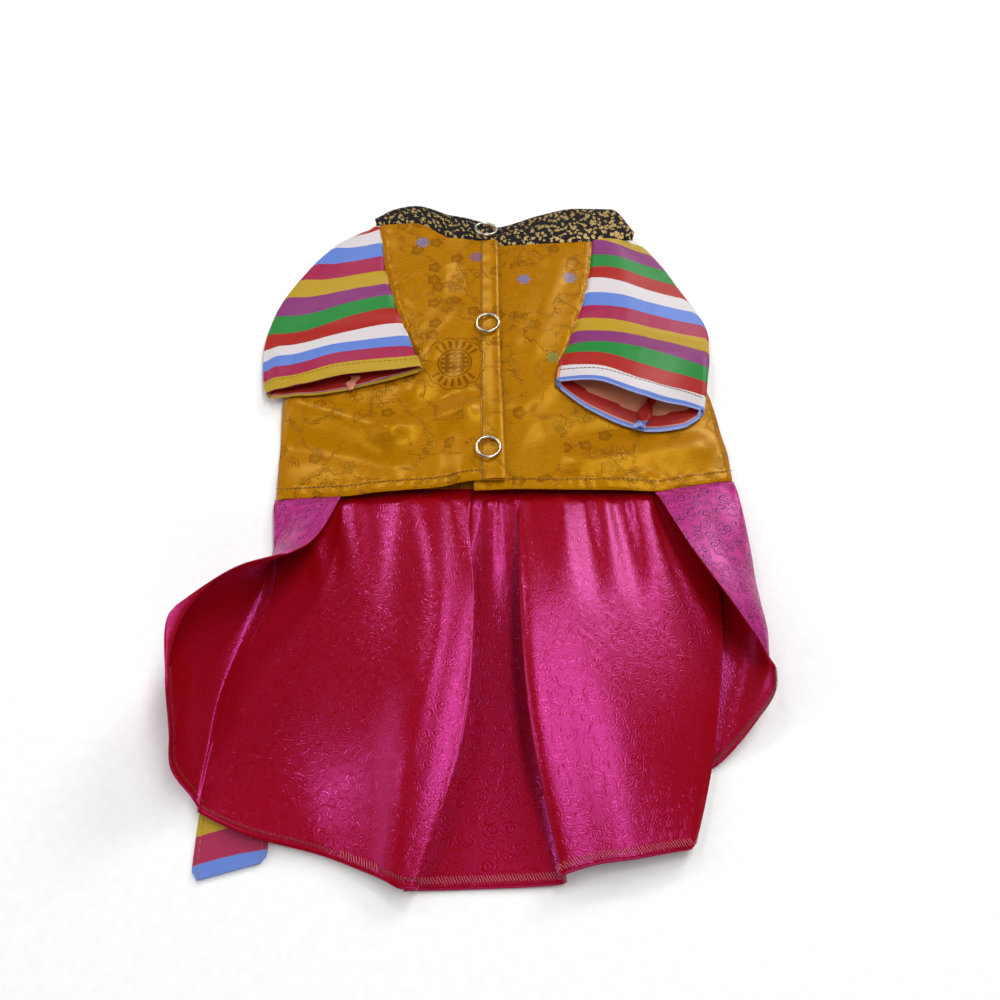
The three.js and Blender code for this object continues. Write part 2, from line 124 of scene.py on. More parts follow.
print("curves ready")

# %% [markdown]
# A sheet of cloth needs two faces, because the right side and the wrong side often look different,
# and a rim that closes it. Each face keeps the cloth's own millimetres as an attribute, so that a woven
# or printed pattern follows the cloth into every fold. A Solidify modifier could make the wall, but one
# mesh with two material slots gives each side its own finish with less to go wrong.

# %% Make a shell of cloth
LEAST_WIDTH = 0.01  # least width stated for a sheet, metres


def normals_of(grid):
    across = np.gradient(grid, axis=1)
    along = np.gradient(grid, axis=0)
    normal = np.cross(across, along)
    return normal / np.maximum(np.linalg.norm(normal, axis=2, keepdims=True), 1e-9)


def cloth_millimetres(grid):
    """(across, along) of each point on the flat cloth, from the middle row and each column."""
    middle = grid[len(grid) // 2]
    across = np.concatenate([[0], np.cumsum(np.linalg.norm(np.diff(middle, axis=0), axis=1))])
    steps = np.linalg.norm(np.diff(grid, axis=0), axis=2)
    along = np.concatenate([np.zeros((1, grid.shape[1])), np.cumsum(steps, axis=0)])
    return np.dstack([np.broadcast_to(across, along.shape), along, np.zeros_like(along)])


def shell_arrays(grid, thickness, marks):
    """Vertices, faces, face slots, marks and border of a closed shell whose first slot faces up."""
    rows, columns = grid.shape[:2]
    normal = normals_of(grid)
    half = np.asarray(thickness)[..., None] / 2 if np.ndim(thickness) else thickness / 2
    verts = np.concatenate([(grid + normal * half).reshape(-1, 3), (grid - normal * half).reshape(-1, 3)])
    index = np.arange(rows * columns).reshape(rows, columns)
    a, b, c, d = index[:-1, :-1], index[:-1, 1:], index[1:, 1:], index[1:, :-1]
    first = np.stack([a, b, c, d], axis=-1).reshape(-1, 4)
    second = first[:, ::-1] + rows * columns
    rim = []
    for line in (index[0], index[:, -1], index[-1][::-1], index[:, 0][::-1]):
        p, q = line[:-1], line[1:]
        rim.append(np.stack([q, p, p + rows * columns, q + rows * columns], axis=-1))
    faces = np.concatenate([first, second, *rim])
    upward = int(normal[rows // 4 : -rows // 4, columns // 4 : -columns // 4, 2].mean() > 0)
    slots = np.repeat([1 - upward, upward, 0], [len(first), len(second), len(faces) - 2 * len(first)])
    marks = {name: np.concatenate([m.reshape(-1, 3)] * 2) for name, m in marks.items()}
    border = np.zeros((rows, columns), bool)
    border[[0, -1]] = border[:, [0, -1]] = True
    return verts, faces, slots, marks, np.concatenate([border.ravel()] * 2)


def mesh_piece(name, verts, faces, materials, slots=None, marks=None, border=None):
    """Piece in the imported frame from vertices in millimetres, all faces with four corners."""
    mesh = bpy.data.meshes.new(name)
    verts = (np.asarray(verts) + SHIFT) / 1000
    mesh.vertices.add(len(verts))
    mesh.vertices.foreach_set("co", verts.ravel())
    mesh.loops.add(faces.size)
    mesh.loops.foreach_set("vertex_index", faces.ravel())
    mesh.polygons.add(len(faces))
    mesh.polygons.foreach_set("loop_start", np.arange(0, faces.size, faces.shape[1]))
    mesh.update(calc_edges=True)
    mesh.polygons.foreach_set("use_smooth", np.ones(len(faces), bool))
    if slots is not None:
        mesh.polygons.foreach_set("material_index", slots)
    for key, values in (marks or {}).items():
        layer = mesh.attributes.new(key, "FLOAT_VECTOR", "POINT")
        layer.data.foreach_set("vector", np.ascontiguousarray(values, float).ravel())
    if border is not None:
        ends = np.empty(len(mesh.edges) * 2, int)
        mesh.edges.foreach_get("vertices", ends)
        ends = ends.reshape(-1, 2)
        mesh.edges.foreach_set("use_edge_sharp", border[ends[:, 0]] & border[ends[:, 1]])
    for material in materials:
        mesh.materials.append(material)
    mesh.validate()
    piece = bpy.data.objects.new(name, mesh)
    bpy.context.scene.collection.objects.link(piece)
    return piece


def sheet_area(grid):
    diagonals = np.cross(grid[1:, 1:] - grid[:-1, :-1], grid[:-1, 1:] - grid[1:, :-1])
    return np.linalg.norm(diagonals, axis=2).sum() / 2 / 1e6


def cloth_piece(name, stretches, materials, nodes, held, thickness=0.6):
    """Cloth made of one or more stretches: dicts with a grid and, if wanted, marks and thickness.

    A stretch with trim is cut together with another, and one with tube is measured all the way round.
    """
    parts, count, cut = [], 0, []
    for s in stretches:
        grid = s["grid"]
        marks = {"cloth": cloth_millimetres(grid), **s.get("marks", {})}
        verts, faces, slots, marks, border = shell_arrays(grid, s.get("thickness", thickness), marks)
        parts.append((verts, faces + count, slots, border, marks))
        count += len(verts)
        if not s.get("trim"):
            lengths = [np.linalg.norm(np.diff(grid, axis=k), axis=2).sum(axis=k).max() / 1000 for k in (1, 0)]
            if held == "laid" and not s.get("tube"):
                lengths = [np.ptp(grid[..., k]) / 1000 for k in (0, 1)]
            cut.append((*lengths, sheet_area(grid)))
    verts, faces, slots, border = (np.concatenate([part[k] for part in parts]) for k in range(4))
    marks = {key: np.concatenate([part[4][key] for part in parts]) for key in parts[0][4]}
    piece = mesh_piece(name, verts, faces, materials, slots, marks, border)
    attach(piece, "root")
    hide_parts(*nodes)
    width, length = max(LEAST_WIDTH, sum(c[0] for c in cut)), max(c[1] for c in cut)
    area = sum(c[2] for c in cut)
    size = f"{width * 1000:.0f} x {length * 1000:.0f} mm, {area * 1e4:.0f} cm2"
    print(f"{name}: cut {size}, {len(piece.data.polygons)} faces")


def grid_uv(columns, rows):
    return np.meshgrid(np.linspace(0, 1, columns + 1), np.linspace(0, 1, rows + 1))


def mark(values):
    """Attribute whose first number holds the values."""
    return np.dstack([values, np.zeros_like(values), np.zeros_like(values)])


# %% [markdown]
# Shader trees are built by one function that adds a node with its settings and links its inputs.
# Colours are given as the sRGB values that a maker would match a swatch to, and turned to linear once.
# Inputs 0, 6 and 7 of a Mix node are its factor and its two colours, and output 2 is the mixed colour.

# %% Colours and shader nodes
MATH, VECTOR, ATTRIBUTE = "ShaderNodeMath", "ShaderNodeVectorMath", "ShaderNodeAttribute"
NOISE, VORONOI, RAMP = "ShaderNodeTexNoise", "ShaderNodeTexVoronoi", "ShaderNodeValToRGB"


def linear(code):
    parts = [int(code[i : i + 2], 16) / 255 for i in (1, 3, 5)]
    return [p / 12.92 if p <= 0.04045 else ((p + 0.055) / 1.055) ** 2.4 for p in parts] + [1]


def add_node(tree, kind, inputs=None, stops=None, steps=False, **settings):
    """Adds a node, sets its options, then sets or links its inputs. stops are (place, colour) of a ramp."""
    made = tree.nodes.new(kind)
    for key, value in settings.items():
        setattr(made, key, value)
    for key, value in (inputs or {}).items():
        if isinstance(value, bpy.types.Node):
            value = value.outputs[0]
        if isinstance(value, bpy.types.NodeSocket):
            tree.links.new(value, made.inputs[key])
        else:
            made.inputs[key].default_value = value
    if stops:
        made.color_ramp.interpolation = "CONSTANT" if steps else "LINEAR"
        while len(made.color_ramp.elements) < len(stops):
            made.color_ramp.elements.new(1)
        for element, (place, colour) in zip(made.color_ramp.elements, stops):
            element.position = place
            element.color = linear(colour) if isinstance(colour, str) else [colour] * 3 + [1]
    return made


def new_material(name, **fixed):
    """Material with its shader's constant values set on the sockets. Returns material, tree and shader."""
    material = bpy.data.materials.new(name)
    material.use_nodes = True
    tree = material.node_tree
    tree.nodes.clear()
    shader = tree.nodes.new("ShaderNodeBsdfPrincipled")
    output = tree.nodes.new("ShaderNodeOutputMaterial")
    tree.links.new(shader.outputs[0], output.inputs[0])
    for key, value in fixed.items():
        shader.inputs[key.replace("_", " ")].default_value = value
    return material, tree, shader


def connect(tree, shader, **sources):
    """Links nodes or sockets to the shader's inputs. An underscore stands for a space."""
    for key, source in sources.items():
        if isinstance(source, bpy.types.Node):
            source = source.outputs[0]
        tree.links.new(source, shader.inputs[key.replace("_", " ")])


print("shader helpers ready")

# %% [markdown]
# ## Gold jacquard satin
# Jacquard weaves its figures into the ground: the ground is satin, whose long floats shine, and the
# figures are a plainer weave that shines less. Here figure and ground differ in colour and in relief,
# but share one roughness. Round medallions lie among vines and florets, and a few blooms are brocaded in
# coloured thread.
# Medallions and blooms have set places on each panel, kept as an attribute: the offset from the nearest
# one. Vines are thin lines where a soft noise crosses its middle value. Scrolls lie close to them, and
# five-petalled florets fill some cells of a pattern about 8 mm wide.

# %% Gold jacquard
MEDALLION_RADIUS = 13.0  # mm


def polar(tree, offset):
    """Parts of an offset, its length over the cloth and its direction."""
    parts = add_node(tree, "ShaderNodeSeparateXYZ", {0: offset})
    flat = add_node(tree, "ShaderNodeCombineXYZ", {0: parts.outputs[0], 1: parts.outputs[1]})
    radius = add_node(tree, VECTOR, {0: flat}, operation="LENGTH").outputs["Value"]
    angle = add_node(tree, MATH, {0: parts.outputs[1], 1: parts.outputs[0]}, operation="ARCTAN2")
    return parts, radius, angle


def wave(tree, value, factor, shape):
    """Sine or cosine of a value times a factor."""
    scaled = add_node(tree, MATH, {0: value, 1: factor}, operation="MULTIPLY")
    return add_node(tree, MATH, {0: scaled}, operation=shape)


def petal_edge(tree, angle, petals, depth, least):
    """Distance from a flower's eye to the edge of its petals, mm."""
    lobes = add_node(tree, MATH, {0: wave(tree, angle, petals / 2, "COSINE")}, operation="ABSOLUTE")
    return add_node(tree, MATH, {0: lobes, 1: depth, 2: least}, operation="MULTIPLY_ADD")


def gold_jacquard(name, ground, figure, gloss):
    material, tree, shader = new_material(
        name, Specular_IOR_Level=0.54, IOR=1.5, Specular_Tint=linear("#FFCC34"), Sheen_Weight=0.05,
        Sheen_Roughness=0.4, Sheen_Tint=linear("#FFD070"))
    cloth = add_node(tree, ATTRIBUTE, attribute_name="cloth").outputs["Vector"]
    # medallion: two rings, a lattice in the middle and rays between the rings, above and below
    medal = add_node(tree, ATTRIBUTE, attribute_name="medallion")
    offset, radius, angle = polar(tree, medal.outputs["Vector"])
    share = add_node(tree, MATH, {0: radius, 1: MEDALLION_RADIUS}, operation="DIVIDE")
    medallion = add_node(tree, RAMP, {0: share}, steps=True, stops=[(0, 0), (0.47, 1), (0.53, 0)])
    scallop = add_node(tree, MATH, {0: wave(tree, angle, 6.0, "SINE")}, operation="ABSOLUTE")
    scallop = add_node(tree, MATH, {0: scallop, 1: 0.08, 2: 0.87}, operation="MULTIPLY_ADD")
    rim = add_node(tree, MATH, {0: share, 1: scallop, 2: 0.018}, operation="COMPARE")
    rays = add_node(tree, MATH, {0: wave(tree, angle, 22.0, "SINE"), 1: 0.2}, operation="GREATER_THAN")
    rayed = add_node(tree, RAMP, {0: share}, steps=True, stops=[(0, 0), (0.57, 1), (0.84, 0)])
    height = add_node(tree, MATH, {0: offset.outputs[1]}, operation="ABSOLUTE")
    upright = add_node(tree, MATH, {0: height, 1: radius}, operation="DIVIDE")
    upright = add_node(tree, MATH, {0: upright, 1: 0.55}, operation="GREATER_THAN")
    for limit in (rayed, upright):
        rays = add_node(tree, MATH, {0: rays, 1: limit}, operation="MULTIPLY")
    bars = []
    for k, width in ((0, 2.1), (1, 2.9)):
        bar = wave(tree, offset.outputs[k], width, "COSINE")
        bars.append(add_node(tree, MATH, {0: bar, 1: -0.15}, operation="GREATER_THAN"))
    middle = add_node(tree, MATH, {0: share, 1: 0.44}, operation="LESS_THAN")
    lattice = add_node(tree, MATH, {0: bars[0], 1: bars[1]}, operation="MAXIMUM")
    lattice = add_node(tree, MATH, {0: lattice, 1: middle}, operation="MULTIPLY")
    for figures in (rim, rays, lattice):
        medallion = add_node(tree, MATH, {0: medallion, 1: figures}, operation="MAXIMUM")
    medallion = add_node(tree, MATH, {0: medallion, 1: offset.outputs[2]}, operation="MULTIPLY")
    # vines are thin lines where a soft field crosses its middle value, with scrolls close to them
    field = add_node(tree, NOISE, {"Vector": cloth, "Scale": 0.06, "Detail": 1.5})
    away = add_node(tree, MATH, {0: field, 1: 0.5}, operation="SUBTRACT")
    away = add_node(tree, MATH, {0: away}, operation="ABSOLUTE")
    strewn = add_node(tree, RAMP, {0: away}, stops=[(0.003, 0.6), (0.007, 0)])
    wavy = add_node(tree, NOISE, {"Vector": cloth, "Scale": 0.2, "Detail": 1.0})
    bent = add_node(tree, VECTOR, {0: wavy.outputs["Color"], 1: (5.0, 5.0, 0.0), 2: cloth},
                    operation="MULTIPLY_ADD")
    scrolls = add_node(tree, VORONOI, {"Vector": bent, "Scale": 0.2, "Randomness": 0.9},
                       voronoi_dimensions="2D")
    scroll = add_node(tree, RAMP, {0: scrolls.outputs["Distance"]}, stops=[
        (0, 0.8), (0.06, 0.8), (0.09, 0), (0.20, 0), (0.23, 1), (0.26, 1), (0.29, 0), (0.39, 0), (0.42, 1),
        (0.45, 0)])
    near = add_node(tree, RAMP, {0: away}, stops=[(0.03, 1), (0.05, 0)])
    scroll = add_node(tree, MATH, {0: scroll, 1: near}, operation="MULTIPLY")
    # florets: five petals round an eye, in some of the cells of a coarse pattern
    cells = add_node(tree, VORONOI, {"Vector": cloth, "Scale": 0.12, "Randomness": 0.95},
                     voronoi_dimensions="2D")
    from_cell = add_node(tree, VECTOR, {0: cloth, 1: cells.outputs["Position"]}, operation="SUBTRACT")
    floret_radius, floret_turn = polar(tree, from_cell)[1:]
    floret_reach = petal_edge(tree, floret_turn, 5, 0.8, 1.7)
    fill = add_node(tree, MATH, {0: floret_radius, 1: floret_reach}, operation="LESS_THAN")
    outline = add_node(tree, MATH, {0: floret_radius, 1: floret_reach, 2: 0.22}, operation="COMPARE")
    floret = add_node(tree, MATH, {0: fill, 1: 0.5, 2: outline}, operation="MULTIPLY_ADD")
    eye = add_node(tree, MATH, {0: floret_radius, 1: 0.6}, operation="GREATER_THAN")
    chosen = add_node(tree, "ShaderNodeSeparateColor", {0: cells.outputs["Color"]})
    chosen = add_node(tree, MATH, {0: chosen, 1: 0.72}, operation="GREATER_THAN")
    for limit in (eye, chosen):
        floret = add_node(tree, MATH, {0: floret, 1: limit}, operation="MULTIPLY")
    for figures in (scroll, floret):
        strewn = add_node(tree, MATH, {0: strewn, 1: figures}, operation="MAXIMUM")
    outside = add_node(tree, MATH, {0: radius, 1: MEDALLION_RADIUS - 0.2}, operation="GREATER_THAN")
    strewn = add_node(tree, MATH, {0: strewn, 1: outside}, operation="MULTIPLY")
    woven = add_node(tree, MATH, {0: medallion, 1: strewn}, operation="MAXIMUM", use_clamp=True)
    # brocaded blooms: six petals, filled with rounds of thread
    bloom = add_node(tree, ATTRIBUTE, attribute_name="bloom")
    petals, bloom_radius, turn = polar(tree, bloom.outputs["Vector"])
    reach = petal_edge(tree, turn, 6, 1.2, 1.9)
    petal = add_node(tree, MATH, {0: bloom_radius, 1: reach}, operation="LESS_THAN")
    rounds = add_node(tree, MATH, {0: wave(tree, bloom_radius, 4.4, "SINE"), 1: -0.6}, operation="GREATER_THAN")
    petal = add_node(tree, MATH, {0: petal, 1: rounds}, operation="MULTIPLY")
    tint = add_node(tree, RAMP, {0: petals.outputs[2]}, steps=True, stops=[
        (0, "#6A74A8"), (0.3, "#75567C"), (0.5, "#6C7F42"), (0.7, "#A8561C"), (0.9, "#8A5806")])
    # ground: dyed thread is never quite even
    floats = add_node(tree, "ShaderNodeMapping", {"Vector": cloth, "Scale": (0.25, 2.2, 1.0)})
    streaks = add_node(tree, NOISE, {"Vector": floats, "Scale": 1.0, "Detail": 2.0})
    even = add_node(tree, RAMP, {0: streaks}, stops=[(0.3, ground[0]), (0.7, ground[1])])
    base = add_node(tree, "ShaderNodeMix", {0: woven, 6: even, 7: linear(figure)}, data_type="RGBA")
    colour = add_node(tree, "ShaderNodeMix", {0: petal, 6: base.outputs[2], 7: tint}, data_type="RGBA")
    rough = add_node(tree, MATH, {0: streaks, 1: 0.08, 2: gloss}, operation="MULTIPLY_ADD")
    height = add_node(tree, MATH, {0: streaks, 1: 0.2, 2: woven}, operation="MULTIPLY_ADD")
    height = add_node(tree, MATH, {0: height, 1: petal}, operation="ADD")
    relief = add_node(tree, "ShaderNodeBump", {"Height": height, "Strength": 0.5, "Distance": 0.00014})
    connect(tree, shader, Base_Color=colour.outputs[2], Roughness=rough, Normal=relief)
    return material


gold_face = gold_jacquard("gold_jacquard_satin", ("#9C6202", "#AC7003"), "#744204", 0.25)
print("gold jacquard:", len(gold_face.node_tree.nodes), "nodes")

# %% [markdown]
# ## Shot satin for the skirt
# Shot cloth has a warp of one colour and a weft of another. Here the deep red shows when the cloth is
# looked at straight and the pink floats shine when light glances off them, so the body colour is red and
# the gloss is pink. The right side carries curled clouds about 4 mm across and shows more pink. A high
# specular level with a pink tint stands for the long floats, which reflect more than a plain weave.

# %% Shot satin
def shot_satin(name, body, curl, rough, gloss_tint, matt, level):
    """rough is the roughness of the ground, matt what the curls add to it, level the gloss's strength."""
    material, tree, shader = new_material(
        name, Specular_IOR_Level=level, IOR=1.5, Specular_Tint=linear(gloss_tint))
    cloth = add_node(tree, ATTRIBUTE, attribute_name="cloth").outputs["Vector"]
    bend = add_node(tree, NOISE, {"Vector": cloth, "Scale": 0.35, "Detail": 1.0})
    bent = add_node(tree, VECTOR, {0: bend.outputs["Color"], 1: (2.2, 2.2, 0.0), 2: cloth},
                    operation="MULTIPLY_ADD")
    cells = add_node(tree, VORONOI, {"Vector": bent, "Scale": 0.25, "Randomness": 0.9},
                     voronoi_dimensions="2D")
    curls = add_node(tree, RAMP, {0: cells.outputs["Distance"]}, stops=[
        (0, 0.8), (0.07, 0.8), (0.11, 0), (0.20, 0), (0.25, 1), (0.31, 1), (0.36, 0), (0.46, 0), (0.52, 1),
        (0.60, 0)])
    gaps = add_node(tree, NOISE, {"Vector": cloth, "Scale": 0.42, "Detail": 1.0})
    broken = add_node(tree, RAMP, {0: gaps}, stops=[(0.36, 0), (0.46, 1)])
    cloud = add_node(tree, MATH, {0: curls, 1: broken}, operation="MULTIPLY")
    floats = add_node(tree, "ShaderNodeMapping", {"Vector": cloth, "Scale": (2.4, 0.3, 1.0)})
    streaks = add_node(tree, NOISE, {"Vector": floats, "Scale": 1.0, "Detail": 3.0})
    even = add_node(tree, RAMP, {0: streaks}, stops=[(0.3, body[0]), (0.7, body[1])])
    colour = add_node(tree, "ShaderNodeMix", {0: cloud, 6: even, 7: linear(curl)}, data_type="RGBA")
    dull = add_node(tree, MATH, {0: cloud, 1: matt, 2: rough}, operation="MULTIPLY_ADD")
    height = add_node(tree, MATH, {0: cloud, 1: -0.8, 2: streaks}, operation="MULTIPLY_ADD")
    relief = add_node(tree, "ShaderNodeBump", {"Height": height, "Strength": 0.3, "Distance": 0.0001})
    connect(tree, shader, Base_Color=colour.outputs[2], Roughness=dull, Normal=relief)
    return material


skirt_inside = shot_satin(
    "shot_satin_wrong_side", ("#860207", "#96050B"), "#90050D", 0.28, "#FF62DC", -0.13, 0.9)
skirt_outside = shot_satin(
    "shot_satin_right_side", ("#A8226E", "#B62E80"), "#3E0628", 0.36, "#FFA0EC", 0.2, 0.8)
print("shot satin ready")

# %% [markdown]
# ## Striped sleeve cloth
# The sleeves and the sash are of the traditional cloth of many-coloured stripes, seven colours in turn
# and each about 6 mm wide. Stripe numbers are kept as an attribute, so that the stripes bend with the
# cloth. A ramp with sharp steps turns the number's remainder into a colour.

# %% Striped cloth
STRIPES = {"red": "#A01002", "white": "#D0C8CB", "blue": "#5A7AC6", "crimson": "#9A1044",
           "yellow": "#B08E0E", "plum": "#7E266A", "green": "#0A7C2C"}


def striped_cloth(name, colours, fade):
    material, tree, shader = new_material(name, Specular_IOR_Level=0.3)
    cloth = add_node(tree, ATTRIBUTE, attribute_name="cloth").outputs["Vector"]
    stripe = add_node(tree, ATTRIBUTE, attribute_name="stripe")
    number = add_node(tree, "ShaderNodeSeparateXYZ", {0: stripe.outputs["Vector"]})
    bleed = add_node(tree, NOISE, {"Vector": cloth, "Scale": 2.6, "Detail": 2.0})
    moved = add_node(tree, MATH, {0: bleed, 1: 0.05, 2: number}, operation="MULTIPLY_ADD")
    turn = add_node(tree, MATH, {0: moved, 1: float(len(colours))}, operation="DIVIDE")
    turn = add_node(tree, MATH, {0: turn}, operation="FRACT")
    stops = [(i / len(colours), code) for i, code in enumerate(colours.values())]
    dyed = add_node(tree, RAMP, {0: turn}, steps=True, stops=stops)
    yarn = add_node(tree, "ShaderNodeMapping", {"Vector": cloth, "Scale": (2.6, 1.4, 1.0)})
    grain = add_node(tree, NOISE, {"Vector": yarn, "Scale": 1.0, "Detail": 3.0})
    shade = add_node(tree, "ShaderNodeMapRange", {0: grain, 1: 0.3, 2: 0.7, 3: 0.0, 4: fade})
    worn = add_node(tree, "ShaderNodeMix", {0: shade, 6: dyed, 7: linear("#F3DCD2")}, data_type="RGBA")
    rough = add_node(tree, MATH, {0: grain, 1: 0.2, 2: 0.36}, operation="MULTIPLY_ADD")
    relief = add_node(tree, "ShaderNodeBump", {"Height": grain, "Strength": 0.25, "Distance": 0.0001})
    connect(tree, shader, Base_Color=worn.outputs[2], Roughness=rough, Normal=relief)
    return material


stripe_face = striped_cloth("striped_satin_right_side", STRIPES, 0.02)
stripe_reverse = striped_cloth("striped_satin_wrong_side", {**STRIPES, "white": "#CE8264"}, 0.03)
print("striped cloth ready")

# %% [markdown]
# ## Foil-specked collar cloth, metal and thread
# The collar is a black cotton printed with gold foil: irregular specks that crowd together. Foil is
# a thin metal film, so the specks are metallic where the cloth is not. The snaps are nickel-plated.
# Sewing thread is twisted polyester with a soft shine.

# %% Collar cloth
def specked_collar(name):
    material, tree, shader = new_material(name, Specular_IOR_Level=0.25)
    cloth = add_node(tree, ATTRIBUTE, attribute_name="cloth").outputs["Vector"]
    spread = add_node(tree, ATTRIBUTE, attribute_name="foil")
    crowding = add_node(tree, "ShaderNodeSeparateXYZ", {0: spread.outputs["Vector"]})
    bend = add_node(tree, NOISE, {"Vector": cloth, "Scale": 0.8, "Detail": 2.0})
    bent = add_node(tree, VECTOR, {0: bend.outputs["Color"], 1: (3.4, 3.4, 0.0), 2: cloth},
                    operation="MULTIPLY_ADD")
    cells = add_node(tree, VORONOI, {"Vector": bent, "Scale": 0.46, "Randomness": 1.0},
                     voronoi_dimensions="2D")
    small = add_node(tree, NOISE, {"Vector": cloth, "Scale": 0.5, "Detail": 2.0})
    reach = add_node(tree, MATH, {0: small, 1: 0.9, 2: crowding}, operation="MULTIPLY_ADD")
    foil = add_node(tree, MATH, {0: cells.outputs["Distance"], 1: reach}, operation="LESS_THAN")
    colour = add_node(tree, "ShaderNodeMix", {0: foil, 6: linear("#0E080F"), 7: linear("#A88E58")},
                      data_type="RGBA")
    metal = add_node(tree, MATH, {0: foil, 1: 0.55}, operation="MULTIPLY")
    rough = add_node(tree, MATH, {0: foil, 1: -0.3, 2: 0.78}, operation="MULTIPLY_ADD")
    weave = add_node(tree, NOISE, {"Vector": cloth, "Scale": 3.0, "Detail": 2.0})
    height = add_node(tree, MATH, {0: weave, 1: foil}, operation="ADD")
    relief = add_node(tree, "ShaderNodeBump", {"Height": height, "Strength": 0.3, "Distance": 0.00012})
    connect(tree, shader, Base_Color=colour.outputs[2], Metallic=metal, Roughness=rough, Normal=relief)
    return material


collar_face = specked_collar("foil_specked_cotton")


# %% Metal and threads
def fine_surface(tree, shader, scale, detail, tones, rough):
    """Tone and roughness that vary finely. tones are ramp stops, and rough is a spread and a least value."""
    place = add_node(tree, "ShaderNodeTexCoord")
    grain = add_node(tree, NOISE, {"Vector": place.outputs["Object"], "Scale": scale, "Detail": detail})
    tone = add_node(tree, RAMP, {0: grain}, stops=tones)
    varied = add_node(tree, MATH, {0: grain, 1: rough[0], 2: rough[1]}, operation="MULTIPLY_ADD")
    connect(tree, shader, Base_Color=tone, Roughness=varied)


def nickel(name):
    material, tree, shader = new_material(name, Metallic=1.0)
    fine_surface(tree, shader, 900.0, 3.0, [(0.35, "#C4BEAE"), (0.65, "#E2DCCC")], (0.16, 0.24))
    return material


def sewing_thread(name, dark, light):
    material, tree, shader = new_material(name, Specular_IOR_Level=0.6, Sheen_Weight=0.2)
    fine_surface(tree, shader, 1800.0, 2.0, [(0.3, dark), (0.7, light)], (0.2, 0.4))
    return material


nickel_plate = nickel("nickel_plated_brass")
brown_thread = sewing_thread("brown_sewing_thread", "#4A2808", "#6E4312")
gold_thread = sewing_thread("gold_sewing_thread", "#8A5C08", "#B98512")
blue_thread = sewing_thread("blue_overlock_thread", "#7C8CCB", "#A9B6E4")
red_thread = sewing_thread("red_overlock_thread", "#7C0610", "#920A16")
pink_thread = sewing_thread("pink_overlock_thread", "#AC2C54", "#D4545C")
print("small materials ready")

# %% [markdown]
# ## The bodice
# The body is one tube of cloth pressed flat: the back on the ground and the two fronts on it. The
# fronts swell a little at mid chest, lap 11 mm at the belly, and carry soft creases, which a short table
# places. Finer rumples come from a few crossing waves, and the stitched hem puckers.

# %% Heights of the laid fronts
CREASES = [  # from, to, height and half width, mm
    {"from": (-78, 40), "to": (-42, 26), "height": 2.6, "half": 6.5},
    {"from": (-42, 26), "to": (-13, 36), "height": 1.9, "half": 5},
    {"from": (-78, 22), "to": (-40, 12), "height": -0.9, "half": 5},
    {"from": (-34, 46), "to": (-20, 84), "height": 1.5, "half": 6},
    {"from": (-34, 38), "to": (-14, 46), "height": -0.8, "half": 4},
    {"from": (-46, 100), "to": (-20, 112), "height": 0.7, "half": 5},
    {"from": (14, 70), "to": (24, 112), "height": 1.4, "half": 6},
    {"from": (8, 38), "to": (26, 56), "height": 0.9, "half": 5},
    {"from": (30, 12), "to": (74, 20), "height": 1.8, "half": 6},
    {"from": (18, 24), "to": (60, 32), "height": -0.9, "half": 6},
    {"from": (40, 4), "to": (54, 8), "height": 0.8, "half": 3},
]
WRAP_TOP, WRAP_WIDTH = -13, 11  # X where the left front has risen onto the right one, and over how much
BODY_MIDDLE, BODY_HALF = 2, 84  # middle line and half width of the body
SIDE_HEIGHT, SWELL, HEM_LIFT = 2.4, 2.9, 1.2  # height at the sides, and rise at mid chest and the hem's ends


def crease_height(x, y):
    total = np.zeros_like(x)
    for c in CREASES:
        (x0, y0), (x1, y1) = c["from"], c["to"]
        length = math.hypot(x1 - x0, y1 - y0)
        along = ((x - x0) * (x1 - x0) + (y - y0) * (y1 - y0)) / length
        aside = ((x - x0) * (y1 - y0) - (y - y0) * (x1 - x0)) / length
        beyond = np.maximum(0, np.maximum(-along, along - length))
        total += c["height"] * np.exp(-((aside / c["half"]) ** 2) - (beyond / c["half"]) ** 2)
    return total


def rumple(x, y, size, seed):
    """Soft uneven surface of about -1 to 1 from seven crossing waves of roughly the given size."""
    chance = np.random.default_rng(seed)
    total = np.zeros_like(x)
    for _ in range(7):
        turn, phase = chance.uniform(0, math.pi), chance.uniform(0, 6.3)
        length = size * chance.uniform(0.7, 1.5)
        total += np.sin(2 * math.pi * (x * math.cos(turn) + y * math.sin(turn)) / length + phase)
    return total / 4


def front_height(x, y):
    side = np.minimum(1, np.abs(x - BODY_MIDDLE) / BODY_HALF) ** 4
    hem_lift = HEM_LIFT * side * (1 - ease(2, 22, y))
    return SIDE_HEIGHT + SWELL * (1 - side) + hem_lift + crease_height(x, y)


def ground_height(x, y):
    return REST + 0 * x


def left_front_height(x, y):
    return front_height(x, y) + LAYER * ease(WRAP_TOP - WRAP_WIDTH, WRAP_TOP, x)


print("front at mid chest is", round(float(front_height(np.array(2.0), np.array(60.0))), 1), "mm high")

# %% [markdown]
# The cut edges are the same short tables as the solids have. Each side of a front runs up the side of
# the body to the underarm, and then along the armhole to the neck.

